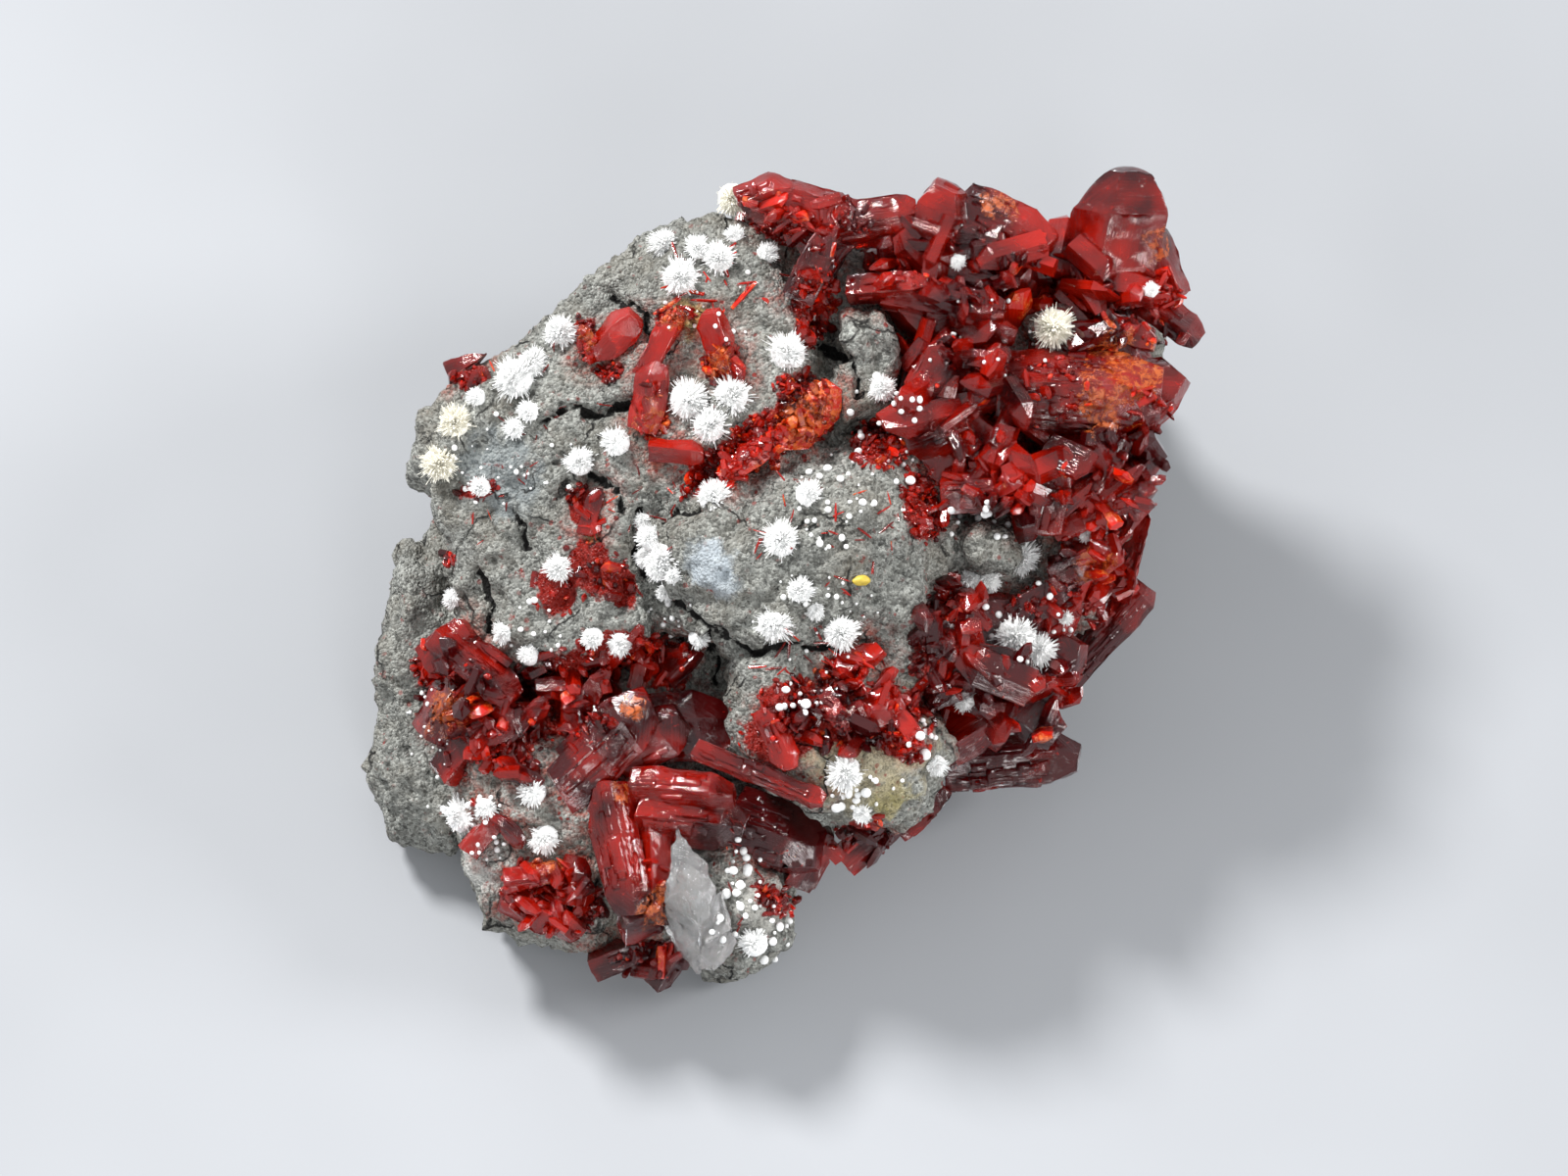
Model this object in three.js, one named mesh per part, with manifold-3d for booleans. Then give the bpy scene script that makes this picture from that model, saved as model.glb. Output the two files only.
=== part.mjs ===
// Realgar on matrix: a grey rock with red realgar crystals, white needle sprays and one calcite crystal.
// Lengths are millimetres and angles are degrees. The specimen lies on its flat base, with +Z up and the
// origin in the middle of that base. The face is the side with the crystals. It leans towards -Y, and all
// places below are given on it, from its middle: u to the right, v up the face, w out of the face.
import * as THREE from "three";
import { ConvexGeometry } from "three/addons/geometries/ConvexGeometry.js";
import { mergeVertices } from "three/addons/utils/BufferGeometryUtils.js";
import Module from "manifold-3d";

const wasm = await Module();
wasm.setup();

// Driving dimensions
const FACE_LEAN = 20; // how far the face leans from level
const FACE_HEIGHT = 38; // from the base up to w = 0 under the face's middle, along w
const BASE_MIDDLE = [-5.5, 9]; // the base's middle, seen from above from the face's middle
const GAP = 0.4; // between two crystals, each in a group of its own
const ROCK_GAP = 0.6; // between a crystal and the rock that it grows on
const ROCK_MESH = { step: 8, rings: 6 }; // points round a block of rock, and rings from bottom to top
const BED_MESH = { step: 12, rings: 3 }; // the same of a bed that crystals grow from
const ROCK_DETAIL = 0.9; // relief of the rock smaller than this is left out
const CUT_DETAIL = 0.1; // slivers along cuts and joints smaller than this are left out
const LUMPS = { size: 11, height: 2.2 }; // coarse relief of broken rock
const GRIT = { size: 5, height: 1.1 }; // fine relief of broken rock
const SPRAY_RAYS = 6; // points round the edge of a needle spray
const WIDE_CRYSTAL = 7; // crystals from this width on have more side faces
const FLAT_CRYSTAL = 1.2; // crystals this many times as wide as thick lie with a broad side out
const NARROW_SECTION = [[1, 0.25], [0.15, 1], [-1, -0.1], [-0.1, -1]];
const WIDE_SECTION = [[1, 0.3], [0.2, 1], [-0.9, 0.65], [-0.75, -0.8], [0.6, -1]];
const SEED = 20;

const REALGAR = new THREE.MeshStandardMaterial({ color: 0x7d0f0a, roughness: 0.15, metalness: 0 });
const DARK_REALGAR = new THREE.MeshStandardMaterial({ color: 0x4a0c0c, roughness: 0.3, metalness: 0 });
const ROCK = new THREE.MeshStandardMaterial({ color: 0x7b7b76, roughness: 0.95, metalness: 0 });
const NEEDLES = new THREE.MeshStandardMaterial({ color: 0xf2f1ea, roughness: 0.7, metalness: 0 });
const CALCITE = new THREE.MeshPhysicalMaterial({ color: 0xd8d4cf, roughness: 0.12, transmission: 0.6 });

// Blocks of rock: each has an outline on the face, the w of its top and bottom, and the slope of its top
// along u and v. A high edge value makes its rim squarer.
const ROCK_BLOCKS = [
  {
    name: "body under all the blocks",
    outline: [
      [-7, 42], [8, 43], [26, 38], [40, 34], [43, 22], [41, 8], [35, -5], [25, -13],
      [17, -22], [8, -29], [-2, -36], [-10, -42], [-22, -43], [-33, -40], [-39, -31],
      [-44, -18], [-45, -2], [-43, 14], [-35, 25], [-22, 35],
    ],
    top: -8, bottom: -62, slope: [0, 0], edge: 3.2,
  },
  {
    name: "upper left block",
    outline: [
      [-9, 47.6], [1, 42], [6, 32], [9, 24], [6, 15], [-6, 12], [-14, 9], [-15.5, -5], [-18, -9],
      [-30, -10.5], [-40, -7], [-42, 2], [-44, 11], [-45, 17], [-41, 25], [-35, 30], [-28.4, 36], [-19, 42.6],
    ],
    top: -0.5, bottom: -22, slope: [0.14, -0.1], edge: 3.4,
  },
  {
    name: "shelf round the central bulge",
    outline: [[-16, 12], [-6, 16], [8, 18], [16, 20], [21, 10], [21, -4], [14, -10], [0, -10.6], [-10, -7], [-15, -4]],
    top: 1, bottom: -14, slope: [0.02, 0.02], edge: 4,
  },
  {
    name: "central bulge",
    outline: [
      [-17, 8], [-16.5, 0], [-12, -5], [-6, -8], [1, -11.5], [9, -11], [16, -7.5],
      [19, 0], [18, 9], [12, 14.5], [4, 16], [-5, 13], [-12, 12],
    ],
    top: 6.5, bottom: -16, slope: [0.04, 0.06], edge: 3.4,
  },
  {
    name: "lower middle block",
    outline: [
      [-6.5, -8.5], [-7.5, -14], [-6, -20], [-2, -24], [4, -27], [7, -30], [12, -29.5],
      [19.5, -24], [20, -18], [17.5, -12], [21, -6], [17, -1], [6, -5],
    ],
    top: 4, bottom: -16, slope: [-0.05, 0.12], edge: 3.4,
  },
  {
    name: "lower left block",
    outline: [
      [-41, -5], [-36, -12], [-28, -17], [-20, -19], [-18, -27], [-19, -36], [-20, -44],
      [-27, -45.5], [-36, -44], [-37.5, -38], [-39, -33], [-42, -25], [-44, -15],
    ],
    top: -5, bottom: -26, slope: [0.1, 0.08], edge: 3.2,
  },
  {
    name: "bottom block",
    outline: [[-20, -35], [-12, -30], [-4, -31], [0, -36], [1, -42], [-2, -46], [-7, -49], [-13, -46.5], [-19, -45]],
    top: -4.5, bottom: -24, slope: [0.05, 0.12], edge: 2.8,
  },
  {
    name: "left ledge",
    outline: [
      [-48, 6.4], [-43.6, 7], [-40, -6], [-41, -16], [-41, -26], [-40, -33], [-43.4, -33.4],
      [-48, -31], [-51.8, -26], [-52.8, -20], [-51, -16], [-51.6, -11], [-50, -5], [-48.8, 1],
    ],
    top: -12, bottom: -36, slope: [-0.05, 0.03], edge: 3.4,
  },
  {
    name: "left knob",
    outline: [[-47, 14], [-45, 21], [-40, 24], [-37, 18], [-40, 10], [-44.5, 9]],
    top: -6, bottom: -22, slope: [0.2, 0], edge: 2.6,
  },
  {
    name: "right block under the crystal crust",
    outline: [
      [-7, 48.5], [-3, 50], [5, 46.5], [16, 43], [31, 41], [38, 37], [46, 35], [47, 28], [46, 19],
      [44, 11], [42, 3], [36, -7], [25, -11], [17, -7], [11, 10], [6, 22], [2, 34], [-8, 44],
    ],
    top: -5, bottom: -30, slope: [-0.1, -0.05], edge: 3.4,
  },
  {
    name: "upright grey block beside the crust",
    outline: [[6.5, 34], [12, 36], [14.5, 28], [12.5, 19.5], [7, 19], [6, 26]],
    top: 3.5, bottom: -12, slope: [0, 0.05], edge: 3,
  },
  {
    name: "grey island low in the crust",
    outline: [[21, 8.5], [27, 8.5], [31, 4.5], [29, 1], [23, 1.5], [20, 4]],
    top: 0.5, bottom: -14, slope: [-0.1, 0], edge: 2.6,
  },
  {
    name: "grey island beside the largest spray",
    outline: [[28, 33], [34, 35], [37, 32], [34, 29], [29, 29]],
    top: -2.5, bottom: -16, slope: [0, 0], edge: 2.6,
  },
  {
    name: "grey island at the top",
    outline: [[10, 40.5], [15, 42], [22, 40], [20, 37], [13, 37.5]],
    top: 0, bottom: -14, slope: [0, -0.1], edge: 2.6,
  },
];

// Cracks: open clefts that run from one point to another, with their width at the top and their depth.
const CRACKS = [
  { from: [-6.8, -8.5], to: [-6.2, -21.5], width: 2.4, depth: 12, top: 8 },
  { from: [-5, -9.5], to: [9, -12.2], width: 1.2, depth: 6, top: 10 },
  { from: [-17.6, 7], to: [-16, -5], width: 1.4, depth: 9, top: 6 },
  { from: [-44.5, 8], to: [-41.5, -4], width: 2, depth: 12, top: -4 },
  { from: [-19, 12.5], to: [-13, 11], width: 0.9, depth: 4, top: 4 },
  { from: [-33.5, 8.5], to: [-32, 5], width: 0.8, depth: 3, top: 3 },
];

// Crystals: each is [u, v, length, width, thickness, turn, lift], where turn is the angle of its long axis
// round the face and lift is the angle out of it. The middle of a crystal lies out above the rock's
// surface, or at a stated w. Groups are crystals grown together.
const CRYSTAL_GROUPS = [
  {
    name: "calcite_crystal", material: CALCITE, form: "calcite", out: 2.3,
    crystals: [[-11.8, -38.2, 18, 8.4, 7.4, 98, 13], [-8.6, -42, 10, 6, 5, 80, 0]],
  },
  { name: "realgar_upper_left", out: 1.2, crystals: [[-20.8, 30.6, 8.2, 5, 4.4, 50, 22], [-24, 29.6, 5, 2.4, 2.4, 100, 25]] },
  { name: "realgar_upper_middle", out: 1, crystals: [[-15, 30.2, 8.6, 4.6, 4, 62, 14], [-16.4, 23.4, 8.6, 4, 3.4, 80, 0]] },
  { name: "realgar_upper_right", out: 1, crystals: [[-8, 30.6, 7.4, 3.8, 3.6, 108, 18], [-6.8, 27, 5, 2.8, 2.6, -50, 5]] },
  { name: "realgar_boat", out: 1, crystals: [[-13.2, 16.6, 6.6, 3, 3, -6, 5]] },
  {
    name: "realgar_orange_ridge", out: 1,
    crystals: [[-3.6, 16.4, 9.5, 4.4, 4, 36, 8], [3, 20.8, 10.5, 6, 4.4, 44, 4], [-6.4, 13.4, 5.5, 3.2, 3, 62, 0]],
  },
  { name: "realgar_left_small", out: 0.6, crystals: [[-23.4, 9.4, 6, 3, 2.6, 72, 10]] },
  { name: "realgar_left_edge", crystals: [[-38, 26.8, 6, 4.4, 4, 20, 20, -9.5]] },
  {
    name: "realgar_lower_left", out: 1.8,
    crystals: [
      [-37.8, -9.6, 13, 5.8, 5.6, -42, 14, -4], [-41.4, -7, 7, 5, 5, 40, 20, -6], [-42, -15, 8, 6.4, 6.4, 62, 20, -7.5],
      [-39.6, -20, 8, 4.4, 4.6, 50, 10, -7], [-34.6, -17, 8, 5, 5, 22, 12, -5], [-31.4, -16.6, 8.6, 2.6, 2.6, 55, 35, -4],
      [-37.6, -15, 9, 6, 5.6, 10, 10, -6],
    ],
  },
  {
    name: "realgar_recess", out: 1.4,
    crystals: [
      [-27, -18.6, 7, 5, 4.4, 30, 15, -7], [-23.6, -12.8, 8, 3.8, 3.6, 58, 22, -5.4],
      [-27.2, -12.4, 6.6, 3, 3, 2, 5, -6], [-25.4, -15.6, 8, 4.8, 4.6, 84, 25, -6.4],
    ],
  },
  { name: "realgar_hanging_left", out: 2, crystals: [[-17.4, -9.2, 7, 3.2, 3.2, 76, 10]] },
  { name: "realgar_hanging_right", out: 2, crystals: [[-12.6, -9.2, 5.8, 3.8, 3.6, 42, 15]] },
  {
    name: "realgar_dark_plate", material: DARK_REALGAR, out: 2.6,
    crystals: [[-22.2, -19.2, 15.5, 8.6, 6, 44, 6], [-12.8, -17.2, 13, 9.4, 6, 4, 6], [-16.6, -18.4, 10, 8, 6, 24, 10]],
  },
  {
    name: "realgar_lower_stack", out: 2.2,
    crystals: [
      [-12.4, -25, 13, 6.2, 5, -4, 12, -2.4], [-11.4, -28.6, 13.4, 6.6, 5.4, -6, 5, -3.4],
      [-20.2, -32, 16.5, 6, 4.8, -78, 6, -2.8], [-16.4, -35, 13, 6, 4.8, -86, 4, -4],
      [-16.8, -40.2, 7, 6, 4.4, 20, -15, -4.4],
    ],
  },
  { name: "realgar_long_splinter", out: 1, crystals: [[-3, -22.8, 17, 2.6, 3, -22, 6]] },
  {
    name: "realgar_under_middle", material: DARK_REALGAR,
    crystals: [[-0.6, -31, 11, 8.4, 8, -20, 10, -8], [3.4, -33, 8, 6, 6, 60, 20, -9.5]],
  },
  {
    name: "realgar_bottom_edge", material: DARK_REALGAR,
    crystals: [[-19.4, -45, 9, 4.6, 5, 20, 10, -10.5], [-14.6, -45.4, 7, 5.4, 5, 62, 20, -9]],
  },
  {
    name: "realgar_bottom_left", out: 1.2,
    crystals: [
      [-30.8, -39.6, 8, 5.4, 4.4, -32, 15], [-27.4, -40.6, 7, 4, 4, -60, 20], [-30.6, -35.4, 7.6, 3, 3, 10, 5],
      [-26, -36, 6, 4.4, 4.4, 82, 12],
    ],
  },
  { name: "realgar_fan_left", crystals: [[-35, -28.8, 8.4, 3, 3, -38, 20, -5.4], [-37, -30.4, 6, 3.2, 3, 50, 12, -6]] },
  { name: "realgar_left_blaze", out: 0.7, crystals: [[-32.2, -22.8, 6, 3, 2.6, -26, 10]] },
  { name: "realgar_tablet", out: 0.7, crystals: [[-0.6, -18.4, 7.8, 3.6, 2.6, -66, 7]] },
  {
    name: "realgar_low_middle", out: 0.9,
    crystals: [[6.4, -15.2, 5.8, 3.6, 3.8, -62, 24], [10.4, -15.2, 9, 4.4, 3.4, 22, 8], [15, -17, 6, 4, 3.6, -50, 15]],
  },
  { name: "realgar_below_spray", out: 0.8, crystals: [[9, -8.8, 6.4, 3.4, 3.2, 28, 8]] },
  {
    name: "realgar_crust_top", out: 1,
    beds: [
      {
        outline: [[-4, 49.6], [3, 49.4], [10, 48.4], [18, 47], [18, 42], [9, 41.4], [0, 42]],
        top: -1, bottom: -9, slope: [-0.08, -0.1],
      },
      { outline: [[0, 44], [9.6, 44], [7.6, 35.6], [3.4, 35.6]], top: -0.6, bottom: -9, slope: [0, -0.1] },
      {
        outline: [[15.4, 47.4], [22, 49.4], [29, 47.6], [33.4, 44], [32, 38.8], [25, 37], [19.6, 40.4], [15.4, 42.6]],
        top: -2, bottom: -11, slope: [-0.1, -0.1],
      },
    ],
    crystals: [
      [-1.6, 48, 7, 5.6, 5.4, 20, 15], [4.4, 46.6, 9, 5.4, 5, -16, 12], [10.4, 45.4, 12, 4.8, 5.4, 8, 6],
      [3.6, 39.6, 9.4, 4.4, 4.4, 66, 12], [19.4, 45, 9, 7.6, 6.4, 80, 18], [26.8, 44, 12.5, 8.4, 6.4, -24, 12],
      [24, 39.6, 9, 5.4, 5.4, -12, 8],
    ],
  },
  {
    name: "realgar_crust_top_right", out: 1.2,
    beds: [
      {
        outline: [
          [34.6, 44], [38, 49.6], [42.6, 50.4], [46, 46], [48.6, 39.6], [47.6, 34.4], [41, 33.8], [35.4, 35], [33, 39],
        ],
        top: -4, bottom: -16, slope: [-0.16, -0.14],
      },
    ],
    crystals: [
      [40.8, 43.6, 17, 13, 8, 78, 16], [45.4, 40.4, 11, 6.4, 6, 112, 12], [36.4, 39, 11, 5, 5, -16, 6],
      [42.4, 36.8, 10, 4.4, 5, -12, 8],
    ],
  },
  {
    name: "realgar_crust_middle", out: 1.1,
    beds: [
      {
        outline: [[8, 38.2], [14, 38.6], [22, 37], [28, 36.4], [29, 32], [27.4, 27], [20, 28], [15.4, 31], [10, 35.6]],
        top: 0, bottom: -9, slope: [-0.12, 0],
      },
      {
        outline: [[15.4, 30.4], [22, 30], [27.4, 28.4], [28.2, 20], [25, 16.4], [20, 15.6], [17, 10], [13.4, 11], [13.6, 20]],
        top: 1, bottom: -9, slope: [-0.06, 0],
      },
    ],
    crystals: [
      [19.6, 35, 15, 4.8, 5, -10, 6], [12.8, 36.8, 10, 4.4, 4.4, 4, 8], [23, 31.8, 11, 4.2, 4.4, -12, 6],
      [19, 26.4, 9.6, 7, 6, 60, 16], [24.2, 25, 8.4, 4.4, 5, 56, 24], [19.4, 18.6, 8, 5.4, 5, 20, 16],
      [25, 19.2, 7, 5, 5, -40, 14],
    ],
  },
  {
    name: "realgar_crust_right", out: 1.4,
    beds: [
      {
        outline: [
          [30, 33.4], [37.4, 33], [44, 33.4], [48.4, 32], [47.4, 26], [45.8, 19], [38, 18.4], [29.4, 19.6], [28, 27],
        ],
        top: -1.5, bottom: -16, slope: [-0.22, 0],
      },
    ],
    crystals: [
      [36.2, 23.6, 20, 10.4, 9, -2, 4], [43.2, 22.6, 13.5, 7, 8, 40, -6], [38.2, 30.8, 6.6, 3.4, 3.4, 24, 10],
      [42.6, 31.4, 6.8, 3.6, 3.6, -24, 10],
    ],
  },
  { name: "realgar_right_point", crystals: [[47.8, 33, 8.4, 4.8, 4.8, -38, 8, -8]] },
  {
    name: "realgar_crust_lower", out: 1.2,
    beds: [
      {
        outline: [[19.4, 13.6], [27, 16], [36, 17], [44, 17.4], [45.6, 13], [43.6, 8.6], [27, 9], [20, 9.6]],
        top: -0.5, bottom: -14, slope: [-0.18, 0],
      },
      { outline: [[32, 10], [44, 10], [43.4, 6], [40, 1.4], [33, 1.4]], top: -2.4, bottom: -14, slope: [-0.18, 0] },
    ],
    crystals: [
      [26, 12.6, 12, 7, 6, 4, 8], [33, 12, 11, 5, 5.4, 80, 16], [39, 14.6, 10, 5.4, 6, 50, 12],
      [39.4, 9.6, 13.5, 3.6, 4, 26, 10], [44.6, 15, 5.4, 3, 3.4, 60, 10, -5], [36.6, 3, 8, 4.6, 4.6, 22, 10],
    ],
  },
  {
    name: "realgar_crust_right_edge", material: DARK_REALGAR,
    crystals: [[42.6, 4.2, 12, 2.4, 7, 76, 0, -13], [39.6, -5.6, 16, 3.4, 5, 48, 0, -14.5]],
  },
  {
    name: "realgar_crust_deep_red", material: DARK_REALGAR, out: 1.2,
    beds: [
      {
        outline: [
          [15, -2], [19.6, 1], [31, 0.8], [38, 0.4], [37, -6], [34, -13], [30, -18], [22, -20], [16, -12],
        ],
        top: -3, bottom: -16, slope: [-0.16, 0.14],
      },
    ],
    crystals: [
      [20.4, -4.6, 9.6, 7, 5.4, 32, 8], [25, -9.2, 11, 5.6, 5.4, -10, 6], [20.6, -12, 8, 4.8, 4.6, 22, 8],
      [32, -1.6, 9, 5, 5, 30, 10], [30.4, -15.4, 9, 6, 6, -42, 10], [23.4, -17.4, 8, 6, 6, 32, 5],
      [34, -10, 8, 5, 6, 62, 10],
    ],
  },
  {
    name: "realgar_under_slab", material: DARK_REALGAR,
    crystals: [[28.6, -21.6, 16.5, 7, 4, 5, 0, -19], [20.6, -19.4, 9, 6, 7, 20, 0, -18]],
  },
  { name: "realgar_under_red", crystals: [[17, -27.4, 8, 5.4, 5, 40, 0, -16]] },
  {
    name: "realgar_under_prism", material: DARK_REALGAR,
    crystals: [[13.6, -28.4, 17, 3, 5, 41, 0, -9]],
  },
];

// Sprays of white needles: each is [u, v, radius], and the sprays of one node have grown together.
const SPRAYS = {
  spray_top: [[-6.4, 48.2, 2.6]],
  spray_top_left: [[-14.6, 42.4, 2.4]],
  spray_upper_ridge: [[-10.6, 41.6, 2], [-8, 40.4, 2.6]],
  spray_upper_fan: [[-12.8, 38, 3]],
  spray_upper_left: [[-27.6, 31.4, 2.8]],
  spray_left_ridge: [[-33, 25.8, 3.4], [-31, 27.6, 2.4]],
  spray_left_edge: [[-42.4, 15.4, 3]],
  spray_left_edge_high: [[-40.4, 20.2, 2.8]],
  spray_left_round: [[-25, 15.4, 2.4]],
  spray_triple: [[-11.8, 23, 3.3], [-6.4, 23.4, 3.2], [-9, 19.8, 3]],
  spray_upper_round: [[0.4, 28.6, 3.2]],
  spray_right_tuft: [[12, 24.4, 2.2]],
  spray_middle_left: [[-8.6, 11, 2.7]],
  spray_centre: [[-0.4, 5.8, 3]],
  spray_left_low: [[-27.4, 2.4, 2.4]],
  spray_bulge_edge: [[-14.6, 3.6, 2.8]],
  spray_lower_high: [[1.8, -0.4, 2.2]],
  spray_lower_left: [[-1.2, -4.4, 2.8]],
  spray_lower_round: [[6.8, -5.4, 2.9]],
  spray_right_largest: [[33, 32, 3.4]],
  spray_island: [[29.2, 3.8, 2.8]],
  spray_right_low: [[28.4, -6, 3.4], [31.4, -7.6, 2.6]],
  spray_low_round: [[7.6, -22.4, 2.8]],
};

const faceToSolid = (geometry) => {
  geometry.deleteAttribute("normal");
  geometry.deleteAttribute("uv");
  const merged = mergeVertices(geometry, 1e-4);
  return new wasm.Manifold(
    new wasm.Mesh({
      numProp: 3,
      vertProperties: merged.attributes.position.array,
      triVerts: new Uint32Array(merged.index.array),
    }),
  );
};

function solidToGeometry(solid) {
  const { vertProperties, triVerts } = solid.getMesh();
  const geometry = new THREE.BufferGeometry();
  geometry.setAttribute("position", new THREE.BufferAttribute(vertProperties, 3));
  geometry.setIndex(new THREE.BufferAttribute(triVerts, 1));
  geometry.computeVertexNormals();
  return geometry;
}

// The solid with each corner moved out along its normal.
function swell(solid, distance) {
  const geometry = solidToGeometry(solid);
  const { position, normal } = geometry.attributes;
  const p = new THREE.Vector3();
  const n = new THREE.Vector3();
  for (let i = 0; i < position.count; i++) {
    p.fromBufferAttribute(position, i).addScaledVector(n.fromBufferAttribute(normal, i), distance);
    position.setXYZ(i, p.x, p.y, p.z);
  }
  return faceToSolid(geometry);
}

const join = (solids) => solids.reduce((all, solid) => all.add(solid));

// What is left of a cut piece: its largest body, without the chips that the cut leaves.
const largestBody = (solid) => solid.decompose().sort((a, b) => b.volume() - a.volume())[0];

function hash(x, y, z) {
  const s = Math.sin(x * 127.1 + y * 311.7 + z * 74.7 + SEED) * 43758.5453;
  return s - Math.floor(s);
}

// Smooth noise from -1 to 1 at a point, with one lump to each unit.
function noise(x, y, z) {
  const [i, j, k] = [x, y, z].map(Math.floor);
  const [a, b, c] = [x - i, y - j, z - k].map((t) => t * t * (3 - 2 * t));
  const mix = THREE.MathUtils.lerp;
  const row = (dj, dk) => mix(hash(i, j + dj, k + dk), hash(i + 1, j + dj, k + dk), a);
  return 2 * mix(mix(row(0, 0), row(1, 0), b), mix(row(0, 1), row(1, 1), b), c) - 1;
}

// Moves each point of a closed mesh out by grow and along its normal, so that it looks like broken rock.
function roughen(geometry, grow) {
  geometry.computeVertexNormals();
  const { position, normal } = geometry.attributes;
  const p = new THREE.Vector3();
  const n = new THREE.Vector3();
  for (let i = 0; i < position.count; i++) {
    p.fromBufferAttribute(position, i);
    n.fromBufferAttribute(normal, i);
    const height = [LUMPS, GRIT].reduce(
      (sum, { size, height }) => sum + height * noise(p.x / size, p.y / size, p.z / size),
      grow,
    );
    p.addScaledVector(n, height);
    position.setXYZ(i, p.x, p.y, p.z);
  }
  return geometry;
}

// A block: rings of its outline, drawn in towards the bottom and the top, roughened and swollen by grow.
function roughBlock({ outline, top, bottom, slope, edge }, { step, rings }, grow) {
  const curve = new THREE.CatmullRomCurve3(
    outline.map(([u, v]) => new THREE.Vector3(u, v, 0)),
    true,
    "centripetal",
  );
  const count = Math.round(curve.getLength() / step);
  const rim = curve.getSpacedPoints(count).slice(0, count);
  const centre = rim.reduce((sum, p) => sum.add(p), new THREE.Vector3()).divideScalar(count);
  const middle = (top + bottom) / 2;
  const half = (top - bottom) / 2;
  const points = [];
  const addRing = (spread, rise) => {
    for (const p of spread ? rim : [centre]) {
      const across = p.clone().sub(centre).multiplyScalar(spread);
      const tilt = (across.x * slope[0] + across.y * slope[1]) * Math.max(0, rise);
      points.push(centre.x + across.x, centre.y + across.y, middle + half * rise + tilt);
    }
  };
  addRing(0, -1);
  for (let ring = 1; ring <= rings; ring++) {
    const angle = Math.PI * (ring / (rings + 1) - 0.5);
    const power = 2 / edge;
    addRing(Math.cos(angle) ** power, Math.sign(angle) * Math.abs(Math.sin(angle)) ** power);
  }
  addRing(0, 1);
  const faces = [];
  const clockwise = THREE.ShapeUtils.area(rim) < 0;
  const face = (a, b, c) => faces.push(...(clockwise ? [a, c, b] : [a, b, c]));
  const last = points.length / 3 - 1;
  for (let i = 0; i < count; i++) {
    const next = (i + 1) % count;
    face(0, 1 + next, 1 + i);
    for (let ring = 0; ring < rings - 1; ring++) {
      const low = 1 + ring * count;
      const high = low + count;
      face(low + i, low + next, high + next);
      face(low + i, high + next, high + i);
    }
    face(last, last - count + i, last - count + next);
  }
  const geometry = new THREE.BufferGeometry();
  geometry.setAttribute("position", new THREE.Float32BufferAttribute(points, 3));
  geometry.setIndex(faces);
  return faceToSolid(roughen(geometry, grow));
}

const rockBlock = (block) => roughBlock(block, ROCK_MESH, 0);
const crystalBed = (bed, grow) => roughBlock({ edge: 3, ...bed }, BED_MESH, grow);

// A cleft: a wedge that is widest at its top and pointed at both ends.
function crack({ from, to, width, depth, top }) {
  const start = new THREE.Vector3(...from, top);
  const end = new THREE.Vector3(...to, top);
  const side = end.clone().sub(start).normalize().cross(new THREE.Vector3(0, 0, 1)).multiplyScalar(width / 2);
  const middle = start.clone().lerp(end, 0.5);
  const floor = new THREE.Vector3(0, 0, -depth);
  return faceToSolid(
    new ConvexGeometry([
      start,
      end,
      middle.clone().add(side),
      middle.clone().sub(side),
      start.clone().lerp(middle, 0.3).add(floor),
      end.clone().lerp(middle, 0.3).add(floor),
    ]),
  );
}

// A realgar prism along x, centred on the origin and larger all round by grow: side faces, a bevelled
// tip and a slanted foot.
function realgarForm(length, width, thickness, random, grow) {
  const [a, b, c] = [length, width, thickness].map((size) => size / 2);
  const section = width < WIDE_CRYSTAL ? NARROW_SECTION : WIDE_SECTION;
  const jitter = () => 1 + 0.2 * (random() - 0.5);
  const rim = section.map(([y, z]) => [y * b * jitter(), z * c * jitter()]);
  const slant = 0.5 * (random() - 0.5);
  const bevel = Math.min(0.3 * length, 0.45 * width);
  const tipShift = 0.3 * b * (random() - 0.5);
  const points = rim.flatMap(([y, z]) => {
    const foot = new THREE.Vector3(-a + slant * y, y, z);
    const shoulder = new THREE.Vector3(a - bevel + slant * y, y, z);
    const tip = new THREE.Vector3(a + slant * y * 0.6, y * 0.55 + tipShift, z * 0.6);
    return [foot, shoulder, tip];
  });
  const scale = new THREE.Vector3(1 + grow / a, 1 + grow / b, 1 + grow / c);
  return new ConvexGeometry(points.map((p) => p.multiply(scale)));
}

// A calcite scalenohedron along x: a zigzag girdle of six corners between a sharp tip and a blunt one.
function calciteForm(length, width, thickness, random, grow) {
  const [a, b, c] = [length, width, thickness].map((size) => size / 2 + grow);
  const points = [new THREE.Vector3(a, 0, 0), new THREE.Vector3(-a, 0.25 * b, 0), new THREE.Vector3(-a, -0.3 * b, 0)];
  for (let corner = 0; corner < 6; corner++) {
    const angle = (corner / 6) * 2 * Math.PI + 0.3;
    const along = a * (corner % 2 ? -0.34 : 0.12) + 0.1 * (random() - 0.5);
    points.push(new THREE.Vector3(along, b * Math.cos(angle), c * Math.sin(angle)));
    points.push(new THREE.Vector3(along + 0.45 * a, 0.6 * b * Math.cos(angle), 0.6 * c * Math.sin(angle)));
  }
  return new ConvexGeometry(points);
}

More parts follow.
